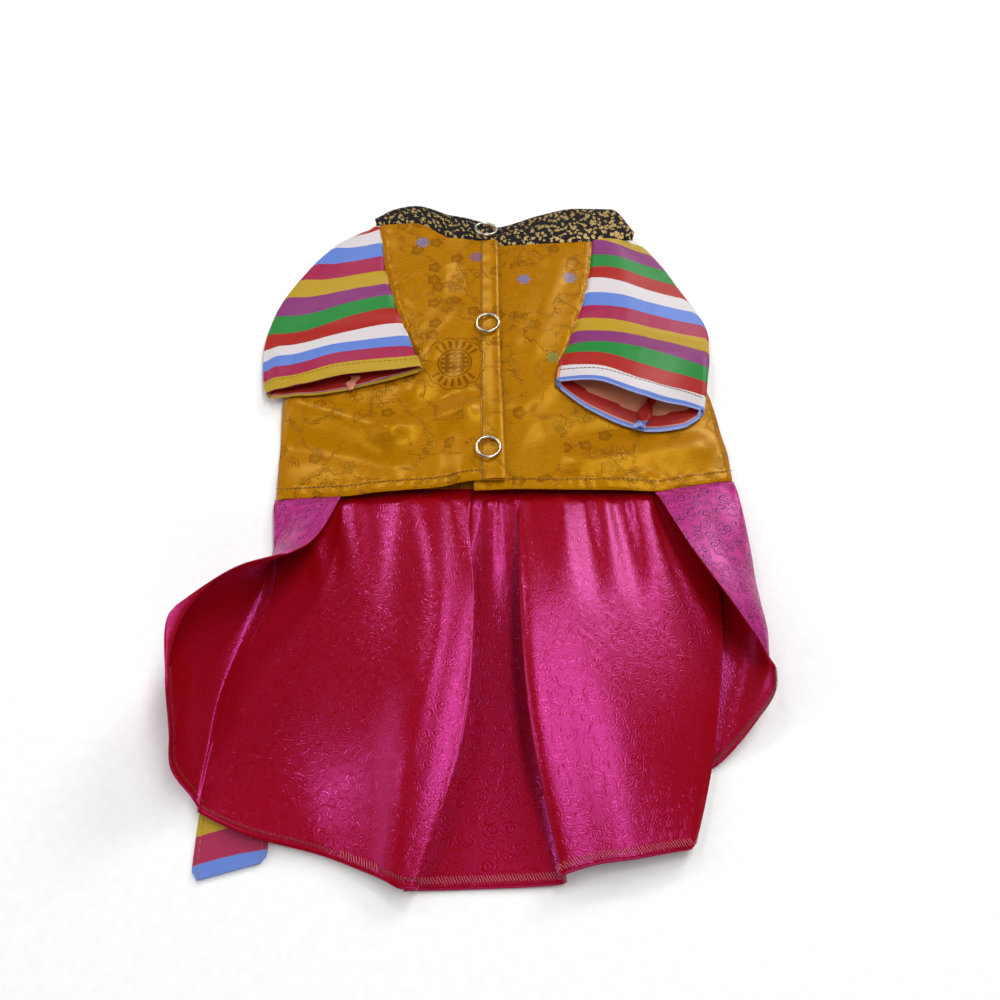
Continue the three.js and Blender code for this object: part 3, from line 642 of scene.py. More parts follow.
# %% Cut edges of the bodice
BACK_HEM = [(-81, -0.8), (-74, 1.8), (-66, 3.4), (-30, 4.4), (20, 4.4), (66, 5.4), (85, 6.8)]
BACK_NECK = [(-47, 124), (-26, 121), (0, 119.8), (28, 120.4), (50, 122)]
BACK_LEFT = [(-81, -0.8), (-82.4, 20), (-83, 42), (-80, 66), (-73, 80), (-62, 98), (-47, 124)]
BACK_RIGHT = [(85, 6.8), (84.6, 20), (82, 42), (78.4, 64), (72, 80), (61, 100), (50, 122)]
LEFT_HEM = [(-81.8, -1.8), (-58, -1.2), (-43.9, 0.6), (-30, 1.6), (-18, 3), (-9.5, 4.4), (2.2, 4.4)]
RIGHT_HEM = [(-9.5, 1), (9, 1.7), (24, 1.5), (43.6, 1.3), (56.7, 0.9), (69, 3.3), (86, 6.4)]
FRONT_LEFT_SIDE = [(-81.8, -1.8), (-83.3, 22), (-84.2, 42), (-84, 54), (-33.6, 60), (-35.9, 69.6), (-39.7, 80.8),
                   (-42.5, 88.7), (-45.7, 99.9), (-48.5, 111.5), (-50.6, 125.8), (-52.5, 134.2)]
FRONT_RIGHT_SIDE = [(86, 6.4), (86, 17), (84.3, 28), (82.8, 39), (79, 52), (24.6, 58), (27.8, 68.8),
                    (31.6, 82.5), (35.5, 96.7), (37.8, 110.5), (39.4, 124.6)]
LEFT_NECK = [(-52.5, 134.2), (-37, 135), (-21.4, 126.4), (-9, 123.2), (-0.9, 122.6)]
RIGHT_NECK = [(-9.5, 121.4), (-1.3, 121.6), (17, 122.8), (39.4, 124.6)]
LEFT_FRONT_FOLD = [(2.2, 4.4), (0, 69.6), (-0.9, 122.6)]
RIGHT_FRONT_EDGE = [(-9.5, 1), (-9.5, 60), (-9.5, 121.4)]
PLACKET_SEWN = [(-7, 4.6), (-7.6, 69.6), (-8.1, 123)]
PLACKET_FOLD = [(2, 4.6), (-0.2, 69.6), (-1.1, 122.4)]

# %% [markdown]
# Medallions stand 58 mm apart, in rows that are 39 mm apart and step by half, and blooms are strewn
# between them. Past its own rim a medallion's offset is set far off, so that the step between two of
# them never shows.

# %% Places of the woven figures
FAR = 60.0
MEDALLION_REACH, BLOOM_REACH = 14.5, 6  # mm from the middle, a little past the figure's rim
MEDALLIONS = [  # place and how strongly it shows
    (-17.8, 58.5, 1.0), (-75.8, 58.5, 0.3), (40.2, 58.5, 0.3), (-46.8, 97.5, 0.3), (11.2, 97.5, 0.14),
    (69.2, 97.5, 0.3), (-46.8, 19.5, 0.14), (11.2, 19.5, 0.14), (69.2, 19.5, 0.14)]
BLOOMS = [  # place and tint: 0 blue, 0.4 purple, 0.6 green, 0.8 orange, 1 gold
    (-33, 124, 0.1), (-10, 114, 0.4), (10, 103, 0.1), (29, 103.5, 0.1), (21, 62, 0.6), (-56, 12, 1.0),
    (-62, 34, 1.0), (22, 30, 1.0), (66, 26, 1.0), (-33, 74, 1.0), (14, 78, 1.0), (-20, 90, 1.0)]


def offsets_to(places, x, y, reach):
    """Offset from the nearest place, or a far one where none is within reach."""
    result = np.full((*x.shape, 3), FAR)
    for place_x, place_y, value in places:
        near = np.hypot(x - place_x, y - place_y) < reach
        result[near] = np.dstack([x - place_x, y - place_y, np.full_like(x, value)])[near]
    return result


def figure_marks(x, y):
    return {"cloth": np.dstack([x, y, 0 * x]), "medallion": offsets_to(MEDALLIONS, x, y, MEDALLION_REACH),
            "bloom": offsets_to(BLOOMS, x, y, BLOOM_REACH)}


# %% [markdown]
# The back lies flat on the ground. The fronts have a hem turned up by 4 mm: the cloth is double there,
# so it stands a little higher, rounds off at the fold, and puckers along its stitch line.

# %% Back and fronts
def laid(edges, height, columns, rows, fade=1):
    u, v = grid_uv(columns, rows)
    x, y = patch(*edges, fade)(u, v)
    return u, v, x, y, np.dstack([x, y, height(x, y)])


u, v, x, y, grid = laid(
    [edge(BACK_HEM, "x"), edge(BACK_NECK, "x"), edge(BACK_LEFT, "y"), edge(BACK_RIGHT, "y")],
    ground_height, 60, 50)
cloth_piece("back", [{"grid": grid, "marks": figure_marks(x, y), "thickness": 1.2}], [gold_face, gold_face],
            ["back_panel"], "laid")


def front(name, edges, height, nodes, side_points, seed):
    u, v, x, y, grid = laid(edges, height, 110, 170)
    hem = y - edges[0](u)[1]
    doubled = 0.35 * (1 - ease(3.6, 4.6, hem)) - 0.5 * (1 - ease(0, 0.9, hem))
    pucker = 0.16 * np.exp(-(((hem - 3.8) / 2.2) ** 2)) * (np.sin(x * 1.15 + 2 * np.sin(x * 0.21)) - 0.6)
    gap = np.abs(x - x_at(side_points, y))
    sewn = ease(58, 64, y)
    seam = -0.7 * np.exp(-((gap / 1.1) ** 2)) * sewn
    drag = 0.10 * np.exp(-gap / 7) * np.sin(y * 0.9 + np.sin(x * 0.5) * 1.5) * sewn
    soft = 0.16 * rumple(x, y, 26, seed) + 0.07 * rumple(x, y, 9, seed + 1)
    side = -1.1 * (1 - ease(0, 2.4, gap)) * (1 - sewn)
    grid[..., 2] += doubled + pucker + seam + drag + soft * ease(0, 5, gap) + side
    cloth_piece(name, [{"grid": grid, "marks": figure_marks(x, y)}], [gold_face, gold_face],
                nodes, "laid")


front(
    "left_front",
    [edge(LEFT_HEM, "x"), edge(LEFT_NECK, "x"), edge(FRONT_LEFT_SIDE, "y"), edge(LEFT_FRONT_FOLD, "y")],
    left_front_height, ["front_left"], FRONT_LEFT_SIDE, 3)
front(
    "right_front",
    [edge(RIGHT_HEM, "x"), edge(RIGHT_NECK, "x"), edge(RIGHT_FRONT_EDGE, "y"), edge(FRONT_RIGHT_SIDE, "y")],
    front_height, ["front_right"], FRONT_RIGHT_SIDE, 8)

# %% [markdown]
# The placket is the left front's edge folded under and stitched down, so it is a band of three layers
# with a rounded fold at one side and a stitch line, not an edge, at the other.

# %% Placket
def band_height(u, v, x, y):
    rise = mix(0.4, 1.15, ease(0.0, 0.8, u)) - 0.5 * (1 - ease(0, 0.1, 1 - u))
    groove = -0.12 * np.exp(-(((u - 0.08) / 0.05) ** 2))
    ripple = 0.1 * np.sin(y * 0.75) * np.sin(y * 0.21) * (1 - u)
    return left_front_height(x, y) + rise + groove + ripple


u, v = grid_uv(14, 150)
x, y = patch(edge([PLACKET_SEWN[0], PLACKET_FOLD[0]], "x"), edge([PLACKET_SEWN[2], PLACKET_FOLD[2]], "x"),
             edge(PLACKET_SEWN, "y"), edge(PLACKET_FOLD, "y"))(u, v)
placket_grid = np.dstack([x, y, band_height(u, v, x, y)])
cloth_piece("placket_band", [{"grid": placket_grid, "marks": figure_marks(x, y)}], [gold_face, gold_face],
            ["placket"], "folded", thickness=0.9)

# %% [markdown]
# ## Collar
# The stand collar is one folded band. It is laid flat with its fold away from the body, so it looks
# like a strip with a rounded upper edge. It rises from the seam, and its left end lies on the right one.

# %% Collar
COLLAR_LEFT_SEWN = [(-53.5, 134.6), (-37, 135.4), (-21.4, 126.8), (-9, 123.6), (-2.4, 123.1)]
COLLAR_LEFT_TOP = [(-54.4, 138), (-46, 143.6), (-37.2, 145.6), (-21.7, 139.7), (-9.5, 134.8), (-2.4, 133)]
COLLAR_RIGHT_SEWN = [(-10, 121.9), (-1.3, 122.1), (17, 123.3), (40, 125.2), (56.8, 126)]
COLLAR_RIGHT_TOP = [(-10, 131.6), (-1.3, 132.4), (17.4, 139.7), (32.8, 143.8), (48.9, 143.6), (57.8, 130)]
COLLAR_BACK_SEWN = [(-49.6, 124.8), (-26, 121.5), (0, 120.3), (28, 120.9), (52.4, 122.6)]
COLLAR_BACK_TOP = [(-53, 136), (-26, 134), (0, 132.6), (28, 133.6), (56, 134)]


def collar_stretch(sewn, top, height, swell, crowding, seed):
    """swell rounds the band, mm, and crowding gives how thick the foil specks stand at each X."""
    u, v, x, y, grid = laid(
        [edge(sewn, "x"), edge(top, "x"), edge([sewn[0], top[0]], "y"), edge([sewn[-1], top[-1]], "y")],
        height, 90, 20)
    grid[..., 2] += swell * (4 * v * (1 - v)) ** 0.7 - 0.3 * np.exp(-((v / 0.06) ** 2))
    grid[..., 2] += 0.12 * rumple(x, y, 14, seed) * np.sin(math.pi * v)
    return {"grid": grid, "marks": {"foil": mark(crowding(x))}, "thickness": mix(0.9, 0.5, v) if swell else 0.9}


cloth_piece(
    "collar",
    [collar_stretch(COLLAR_LEFT_SEWN, COLLAR_LEFT_TOP, left_front_height, 0.7, lambda x: -0.19 + 0 * x, 5),
     collar_stretch(COLLAR_RIGHT_SEWN, COLLAR_RIGHT_TOP, front_height, 0.9,
                    lambda x: -0.20 + 0.09 * ease(0, 40, x), 6),
     collar_stretch(COLLAR_BACK_SEWN, COLLAR_BACK_TOP, ground_height, 0, lambda x: 0 * x, 7)],
    [collar_face, collar_face], ["collar_left", "collar_right", "collar_back"], "folded")

# %% [markdown]
# ## Sleeves
# Each sleeve is a short tube pressed flat. Its surface is walked all the way round: out along the upper
# layer, round the outer fold, and back along the under layer. The free fold below the underarm is a
# strip of its own. The cuff at the right gapes, the one at the left hardly does.

# %% Sleeve shapes
LEFT_SLEEVE = {  # out is the side it points to, and loft how far its upper layer rises
    "out": -1, "front": FRONT_LEFT_SIDE, "back": BACK_LEFT, "underarm": 60, "upper_top": 133,
    "under_top": 123.6,
    "upper_lip": [(-31.6, 54.1), (-46.6, 51.7), (-61.9, 49.3), (-77.3, 46), (-89.7, 45.6)],
    "under_lip": [(-32.4, 52.4), (-46.7, 49), (-63.9, 44.6), (-76, 42.6), (-88.8, 43.6)],
    "upper_fold": [(-89.7, 45.6), (-91.5, 51), (-93.2, 68.3), (-90, 87), (-80, 107.7), (-66.8, 126.6),
                   (-56.4, 133.6)],
    "under_fold": [(-88.8, 43.6), (-91, 51), (-92.6, 68.3), (-89.4, 87), (-79.4, 107.4), (-66.2, 122.6),
                   (-60, 126.5)],
    "loft": 1.4, "cuff_loft": 1.6,
}
RIGHT_SLEEVE = {
    "out": 1, "front": FRONT_RIGHT_SIDE, "back": BACK_RIGHT, "underarm": 58, "upper_top": 124.7,
    "under_top": 120.6,
    "upper_lip": [(23.1, 48.1), (38, 44.1), (52.4, 36.8), (64.1, 34.9), (76.4, 36.1)],
    "under_lip": [(23.6, 46), (34.4, 36.6), (49.3, 29.1), (56.7, 26.9), (68.5, 28.5), (75.8, 33.4)],
    "upper_fold": [(76.4, 36.1), (78.8, 48.9), (80.3, 62), (81.5, 76.5), (77.8, 86), (72.5, 97), (65.6, 112),
                   (57.4, 125.4)],
    "under_fold": [(75.8, 33.4), (78.2, 48.9), (80.9, 62), (82, 76.5), (78, 87), (71.9, 98), (65, 110.6),
                   (60.5, 117)],
    "loft": 2.4, "cuff_loft": 6,
}
LAID_OPEN = 0.4  # space between the two layers of a sleeve


def sleeve_seam(lip, top, underarm, seam_x):
    def at(t):
        y = mix(lip[0][1], top, t)
        return mix(lip[0][0], seam_x(y), ease(lip[0][1], underarm + 1, y)), y

    return at


def sleeve_layer(sleeve, which, seam_x, u, v):
    """X and Y of the upper or the under layer, from its cuff's lip to the shoulder."""
    lip, fold, top = (sleeve[f"{which}_{part}"] for part in ("lip", "fold", "top"))
    inner = sleeve_seam(lip, top, sleeve["underarm"], seam_x)
    corner = [float(value) for value in inner(1.0)]
    return patch(edge(lip, "x"), edge([corner, fold[-1]], "x"), inner, edge(fold, "y"), 3)(u, v)


def under_height(sleeve, x, y):
    over_body = 1 - ease(87, 95, np.abs(x))
    below_arm = 1 - ease(1, 17, y - sleeve["underarm"])
    return mix(REST, front_height(x, y) + LAYER, over_body * below_arm)


def upper_height(sleeve, x, y, u, v):
    outside = under_height(sleeve, x, y) + LAYER + LAID_OPEN
    low_seam = 1 - ease(0, 24, y - sleeve["underarm"])
    inside = np.maximum(front_height(x, y) + (2 * LAYER + LAID_OPEN) * low_seam, outside)
    cuff = sleeve["cuff_loft"] * (1 - ease(0, 0.5, v))
    return mix(inside, outside, ease(0, 1, u)) + 4 * u * (1 - u) * (cuff + sleeve["loft"])


def front_seam(sleeve):
    return lambda y: x_at(sleeve["front"], np.maximum(y, sleeve["underarm"] + 0.5))


def back_seam(sleeve):
    return lambda y: mix(front_seam(sleeve)(y), x_at(sleeve["back"], y) + 0.7 * sleeve["out"],
                         ease(0, 8, y - sleeve["underarm"]))


print("sleeve shapes ready")

# %% [markdown]
# Stripe edges run across the sleeve. Two tables hold where each edge meets the armhole side and the
# outer fold, and the stripe number is read between them.

# %% Stripe numbers
STRIPE_WIDTH = 6.2  # mm, past the ends of the tables
LEFT_STRIPES = {
    "sag": 0.25,  # stripes that hang lower at the middle of the sleeve
    "first": 0,  # stripes of the seven that come before the first edge's
    "inner": [132.1, 123.9, 116.1, 108.5, 100.6, 94.5, 88.1, 80.8, 73.3, 64.7, 58.0, 53.4],
    "outer": [130.2, 123.6, 114.1, 105.4, 95.5, 85.3, 75.9, 67.5, 60.7, 55.6, 50.6, 45.2],
    "last": 12, "width": 5.6,  # stripe number at the cuff and width of the stripes close to it, mm
    "rim": (0, 0),  # width of the trim at the cuff, mm, and its stripe number
    "under": ((0, 1.5, 1.6, 60), (11.5, 11.5, 7.5, 7.5)),  # under layer: mm from the cuff, stripe numbers
}
RIGHT_STRIPES = {
    "sag": 0.0, "first": 4,
    "inner": [124.7, 116.4, 109.9, 103.7, 95.6, 88.9, 82.0, 74.1, 66.3, 60.7, 55.0, 48.0],
    "outer": [120.2, 111.6, 103.2, 95.5, 88.3, 81.1, 74.3, 65.5, 58.1, 50.6, 43.4, 36.4],
    "last": 16, "width": 6.4, "rim": (1.5, 16.3),
    "under": ((0, 7.4, 7.5, 19, 19.1, 60), (14.8, 14.1, 15.9, 15.1, 14.8, 8)),
}


def stripe_number(table, y, u):
    """Stripes counted from the top of the sleeve, whole numbers at the edges."""
    count = np.arange(1, len(table["inner"]) + 1)
    readings = []
    for side in ("inner", "outer"):
        first, last = table[side][0], table[side][-1]
        beyond = np.maximum(0, last - y) - np.maximum(0, y - first)
        readings.append(np.interp(-y, -np.array(table[side]), count) + beyond / STRIPE_WIDTH)
    sag = table["sag"] * np.sin(math.pi * u)
    return mix(*readings, mix(u, ease(0.1, 0.9, u), 0.6)) + table["first"] - sag


# %% [markdown]
# The upper layer gets soft creases and a shallow drag at the armhole seam. Its cuff edge is turned in,
# which makes a rounded doubled rim. Half circles join the two layers along the outer fold, and along
# the free edge below the underarm.

# %% Sleeves
def round_fold(first, second, out, turns):
    """Points of the half circles that join two edges and bulge out along X."""
    middle, half = (first + second) / 2, (first - second) / 2
    reach = np.array([out, 0, 0]) * np.linalg.norm(half, axis=1, keepdims=True)
    return np.stack([middle + half * math.cos(turn) + reach * math.sin(turn) for turn in turns], axis=1)


def make_sleeve(name, sleeve, table, nodes, seed):
    u, v = grid_uv(72, 100)
    out = sleeve["out"]
    ux, uy = sleeve_layer(sleeve, "upper", front_seam(sleeve), u, v)
    bx, by = sleeve_layer(sleeve, "under", back_seam(sleeve), u, v)
    upper = np.dstack([ux, uy, upper_height(sleeve, ux, uy, u, v)])
    under = np.dstack([bx, by, under_height(sleeve, bx, by)])
    inside = np.sin(math.pi * u) ** 0.7
    sewn = ease(sleeve["underarm"], sleeve["underarm"] + 6, uy)
    soft = 0.30 * rumple(ux, uy * 0.7, 24, seed) + 0.10 * rumple(ux, uy, 9, seed + 1)
    drag = 0.45 * np.exp(-u / 0.16) * np.sin(uy * 0.62 + 0.6 * np.sin(ux * 0.3)) * sewn
    seam = -0.9 * np.exp(-((u / 0.025) ** 2)) * sewn
    rim = 0.25 * (1 - ease(0.05, 0.065, v)) - 0.35 * (1 - ease(0, 0.012, v))
    upper[..., 2] += (soft + rim) * inside + drag + seam
    turns = np.linspace(0, math.pi, 9)
    fold = round_fold(upper[:, -1], under[:, -1], out, turns[1:-1])
    steps = fold.shape[1]
    grid = np.concatenate([upper, fold, under[:, ::-1]], axis=1)
    across = np.concatenate([u, np.ones((len(u), steps)), u[:, ::-1]], axis=1)
    ys = np.concatenate([upper[..., 1], np.repeat(upper[:, -1:, 1], steps, axis=1), under[:, ::-1, 1]], axis=1)
    number = stripe_number(table, ys, across)
    from_lip = ys - ys[0]
    number = mix(table["last"] - from_lip / table["width"], number, ease(4, 34, from_lip))
    shown = np.arange(grid.shape[1]) < u.shape[1] + steps
    number[:, shown] = np.minimum(number[:, shown], table["last"] - 0.02)
    number[:, ~shown] = np.interp(from_lip, *table["under"])[:, ~shown]
    number[from_lip < table["rim"][0]] = table["rim"][1]
    free = int(np.searchsorted(uy[:, 0], sleeve["underarm"] + 1))
    strip = round_fold(upper[:free, 0], under[:free, 0], -out, turns)
    edge_number = np.repeat(number[:free, :1], strip.shape[1], axis=1)
    cloth_piece(
        name, [{"grid": grid, "marks": {"stripe": mark(number)}, "tube": True},
               {"grid": strip if out < 0 else strip[:, ::-1], "marks": {"stripe": mark(edge_number)},
                "trim": True}],
        [stripe_face, stripe_reverse], nodes, "laid", thickness=0.5)
    return upper, under


left_upper, left_under = make_sleeve(
    "left_sleeve", LEFT_SLEEVE, LEFT_STRIPES, ["sleeve_left_upper", "sleeve_left_under"], 21)
right_upper, right_under = make_sleeve(
    "right_sleeve", RIGHT_SLEEVE, RIGHT_STRIPES, ["sleeve_right_upper", "sleeve_right_under"], 34)

# %% [markdown]
# ## Skirt
# One width of satin is gathered onto the waist of the back and lies spread, wrong side up, with its two
# free edges turned over at the belly. A row for each fold line holds where it crosses the waist, one
# third, two thirds and the whole of its length. Splines through them give the sheet. Small gathers run
# down from the waist and fade, and long soft waves break up the spans between the fold lines.

# %% Skirt fold lines
SKIRT_WAIST = [(-58, -1.8, 5), (-67, -2.1, 4.6), (-76, -2.4, 4.2), (-82.4, -2.5, 2.6), (-77, -1.2, REST),
               (-66, 2.4, REST), (-48, 3.5, REST), (-30, 3.9, REST), (-12, 3.9, REST), (6, 3.9, REST),
               (24, 3.9, REST), (42, 4.2, REST), (58, 4.6, 1.5), (70, 4.8, 2.8)]
SIDE_WAIST = [(66, 4.6, REST), (77, 5.4, REST), (86.4, 5.6, 2.4), (82, 4.6, 4.2), (70, 2.6, 4.8),
              (56.7, 0.1, 5)]
SKIRT_FOLDS = [  # waist is the share of the waist line
    {"waist": 0.000, "upper": (-66, -26, 15), "lower": (-87, -41, 27), "rim": (-105, -62, 35)},
    {"waist": 0.050, "upper": (-75, -29, 14), "lower": (-99, -53, 27), "rim": (-100, -82, 33)},
    {"waist": 0.110, "upper": (-81, -31, 9), "lower": (-104, -64, 19), "rim": (-100, -94, 24)},
    {"waist": 0.180, "upper": (-83, -35, 3), "lower": (-100, -73, 8), "rim": (-101, -103, 14)},
    {"waist": 0.222, "upper": (-80.5, -37.2, 1.35), "lower": (-93.2, -77.6, 1.9), "rim": (-96, -109.4, 5.9)},
    {"waist": 0.235, "upper": (-79.5, -38, 0.8), "lower": (-91.4, -78.7, 0.9), "rim": (-93.8, -112.6, 3.7)},
    {"waist": 0.250, "upper": (-78.6, -38.6, 0.75), "lower": (-90.2, -79.4, 0.9), "rim": (-92.4, -114.4, 2.9)},
    {"waist": 0.330, "upper": (-67, -41, 1.6), "lower": (-76, -84, 2.2), "rim": (-77, -121, 4.2)},
    {"waist": 0.410, "upper": (-52, -43, 4.2), "lower": (-58, -88, 5), "rim": (-56, -126, 3)},
    {"waist": 0.490, "upper": (-36, -44, 6), "lower": (-40, -90, 8.4), "rim": (-42, -131, 4)},
    {"waist": 0.548, "upper": (-23, -44, 8.6), "lower": (-29, -90.6, 11.9), "rim": (-35, -134, 5.6)},
    {"waist": 0.575, "upper": (-16.5, -44.5, 8.9), "lower": (-21, -91, 12), "rim": (-30, -136.4, 5.8)},
    {"waist": 0.605, "upper": (-10, -45, 8.1), "lower": (-12.8, -91, 10.7), "rim": (-26, -136.6, 5.4)},
    {"waist": 0.612, "upper": (-9.4, -45, 6.9), "lower": (-12.2, -91, 9.4), "rim": (-25.6, -136.6, 4.4)},
    {"waist": 0.630, "upper": (-13.6, -45, 0.9), "lower": (-17, -91, 0.9), "rim": (-28.6, -136.4, 0.8)},
    {"waist": 0.655, "upper": (-4, -45, REST), "lower": (-5, -91, REST), "rim": (-11, -136, REST)},
    {"waist": 0.690, "upper": (11.5, -45, 3), "lower": (14, -91, 3.2), "rim": (17.6, -134.8, 2)},
    {"waist": 0.700, "upper": (7, -45, 11.4), "lower": (10, -91, 13.6), "rim": (19, -133, 7.4)},
    {"waist": 0.735, "upper": (17, -45, 11.8), "lower": (22, -90, 13.6), "rim": (29, -130, 7.6)},
    {"waist": 0.785, "upper": (31, -45, 10.2), "lower": (36, -89, 12), "rim": (40, -128.4, 6.8)},
    {"waist": 0.860, "upper": (50, -44, 6.6), "lower": (55, -87, 7.8), "rim": (53, -126, 5.4)},
    {"waist": 0.930, "upper": (66, -45, 4.6), "lower": (65, -89, 5.4), "rim": (58, -125, 4.8)},
    {"waist": 1.000, "upper": (76, -46, 3.4), "lower": (69, -92, 3.4), "rim": (60, -123, 3.4)},
]
SIDE_FOLDS = [
    {"waist": 0.00, "upper": (66, -30, REST), "lower": (59, -68, REST), "rim": (53, -104, REST)},
    {"waist": 0.20, "upper": (79, -30, REST), "lower": (73, -66, REST), "rim": (67, -100, 1)},
    {"waist": 0.38, "upper": (88, -30, 3), "lower": (84, -62, 3), "rim": (77, -92, 4)},
    {"waist": 0.55, "upper": (86, -28, 9), "lower": (89, -58, 9), "rim": (84, -84, 6)},
    {"waist": 0.78, "upper": (76, -26, 13), "lower": (86, -53, 15), "rim": (89, -77, 8)},
    {"waist": 1.00, "upper": (65, -25, 14), "lower": (76, -49, 19), "rim": (90, -69, 11)},
]
SASH_LEFT = [(-93.6, -133.4), (-93.8, -116), (-88, -70), (-74, -9)]
SASH_RIGHT = [(-71.4, -128.4), (-71.8, -112), (-66, -70), (-52, -9)]


def rest_height(x, y):
    """Ground under the skirt, raised where the sash tail lies between them."""
    (low_x, low_y), (top_x, top_y) = SASH_LEFT[1], SASH_LEFT[3]
    middle = mix(low_x, top_x, (y - low_y) / (top_y - low_y)) + 11
    beyond = np.maximum(0, np.maximum(y + 9, -134 - y))
    return REST + 1.65 * (1 - ease(15, 22, np.abs(x - middle))) * (1 - ease(3, 10, beyond))


def folded_skirt(waist_line, folds, gathers, columns, rows, seed, corner=0.0):
    """Sheet from the waist line along the fold lines, with a gather every so many mm at the waist.

    corner is the share of the length that the rounding takes off where the left free edge meets the hem.
    """
    u, v = grid_uv(columns, rows)
    waist = spline(waist_line, np.array([f["waist"] for f in folds]))
    lines = [waist, *([f[key] for f in folds] for key in ("upper", "lower", "rim"))]
    stations = np.stack([spline(points, u[0]) for points in lines])
    grid = spline(stations, v[:, 0])
    gathered = ease(0, 0.08, v) * (1 - ease(0.1, 0.45, v))
    run = np.concatenate([[0], np.cumsum(np.linalg.norm(np.diff(stations[1], axis=0), axis=1))])
    uneven = run + 4 * np.sin(run / 11 + seed)
    grid[..., 2] += 1.5 * gathered * (0.5 - 0.5 * np.cos(2 * math.pi * uneven / gathers))
    fine = ease(0, 0.03, v) * (1 - ease(0.03, 0.22, v)) * 0.14 * np.sin(2 * math.pi * uneven / 7.1)
    long_waves = 0.5 * rumple(u * columns + 12 * v, v * 26, 34, seed) * ease(0.02, 0.25, v)
    small = 0.07 * rumple(u * columns, v * 60, 13, seed + 2) * ease(0.02, 0.2, v)
    grid += normals_of(grid) * (fine + long_waves + small)[..., None]
    tuck = 1 - ease(0, 0.02, v)
    grid[..., 1] += 1.0 * tuck
    grid[..., 2] -= 0.8 * tuck
    ground = rest_height(grid[..., 0], grid[..., 1]) - 0.25
    above = grid[..., 2] - ground
    grid[..., 2] = ground + 0.5 * (above + np.sqrt(above**2 + 0.16))
    round_off = 1 - np.sqrt(1 - (1 - np.clip(u / 0.05, 0, 1)) ** 2)
    shorter = np.clip(v * (1 - corner * round_off) * rows, 0, rows)
    low = np.minimum(np.floor(shorter).astype(int), rows - 1)
    part = (shorter - low)[..., None]
    along = np.broadcast_to(np.arange(columns + 1), low.shape)
    return grid[low, along] * (1 - part) + grid[low + 1, along] * part


# %% [markdown]
# The rim is turned up by 4 mm towards the wrong side and overlocked, so a narrow band of cloth lies on
# the inside of the hem, just off the sheet.

# %% Skirt
def hem_band(grid, share, rise=0.55):
    """Turned-up allowance: the last share of the sheet's length, moved out to its upper side."""
    rows = int(len(grid) * (1 - share))
    normal = normals_of(grid)
    side = np.sign(normal[len(grid) // 2 :, ..., 2].mean())
    place = np.linspace(0, 1, grid.shape[1])[None, :, None]
    lift = rise * ease(0, 0.04, place) * (1 - ease(0.96, 1, place)) + 0.02
    band = (grid + normal * lift * side)[rows:]
    band[-1] = grid[-1]
    return band


def skirt_piece(name, grid, hem_share, node):
    cloth_piece(name, [{"grid": grid, "thickness": 0.5},
                       {"grid": hem_band(grid, hem_share), "thickness": 0.4, "trim": True}],
                [skirt_inside, skirt_outside], [node], "gathered")


skirt_grid = folded_skirt(SKIRT_WAIST, SKIRT_FOLDS, 19, 300, 120, 2, corner=0.095)
side_grid = folded_skirt(SIDE_WAIST, SIDE_FOLDS, 19, 90, 100, 5)
skirt_piece("skirt_width", skirt_grid, 0.034, "skirt")
skirt_piece("skirt_right_edge", side_grid, 0.04, "skirt_side_right")

# %% [markdown]
# ## Sash tail
# The sash is a ribbon of the striped cloth, turned in along its edges and pressed flat. Only its tail
# shows, under the skirt's left edge. Its stripes lie across it.

# %% Sash tail
SASH_FIRST, SASH_STRIPE = 2.45, 8.5  # stripe number at the end, and width of the stripes, mm
u, v, x, y, sash_grid = laid(
    [edge([SASH_LEFT[0], SASH_RIGHT[0]], "x"), edge([SASH_LEFT[3], SASH_RIGHT[3]], "x"), edge(SASH_LEFT, "y"),
     edge(SASH_RIGHT, "y")], ground_height, 30, 120)
# the corners of the end are narrowed
middle = sash_grid[:, :, 0].mean(axis=1, keepdims=True)
along = cloth_millimetres(sash_grid)[..., 1]
sash_grid[..., 0] = middle + (x - middle) * (1 - 0.16 * (1 - ease(0, 3.5, along)) ** 2)
sash_number = SASH_FIRST + cloth_millimetres(sash_grid)[..., 1] / SASH_STRIPE
cloth_piece("sash_ribbon", [{"grid": sash_grid, "marks": {"stripe": mark(sash_number)}, "thickness": 1.2}],
            [stripe_face, stripe_face], ["sash_tail"], "folded")

# %% [markdown]
# ## Ring snaps
# A prong snap shows on the right side as an open ring of domed metal, pressed through the cloth, with
# five teeth bent under it. A rounded profile is turned round the axis, and the five teeth show as small
# swellings at its inner edge.

# %% Ring snaps
SNAPS = [  # place and lean: a little of the ring's tilt follows the cloth
    {"at": (-6.0, 128.6), "on_band": 0.9, "lean": (-27, -7)},
    {"at": (-4.9, 76.7), "on_band": LAYER, "lean": (0, 2)},
    {"at": (-4.3, 17.5), "on_band": LAYER, "lean": (-1, -2)},
]
RING_SECTION = [  # radius and height of the turned profile, mm
    (3.95, 0.0), (3.92, 0.35), (3.98, 0.6), (4.15, 0.82), (4.42, 0.92), (4.7, 0.82), (4.9, 0.56), (5.0, 0.25),
    (4.98, 0.0)]
RING_STEPS, TEETH = 96, 5


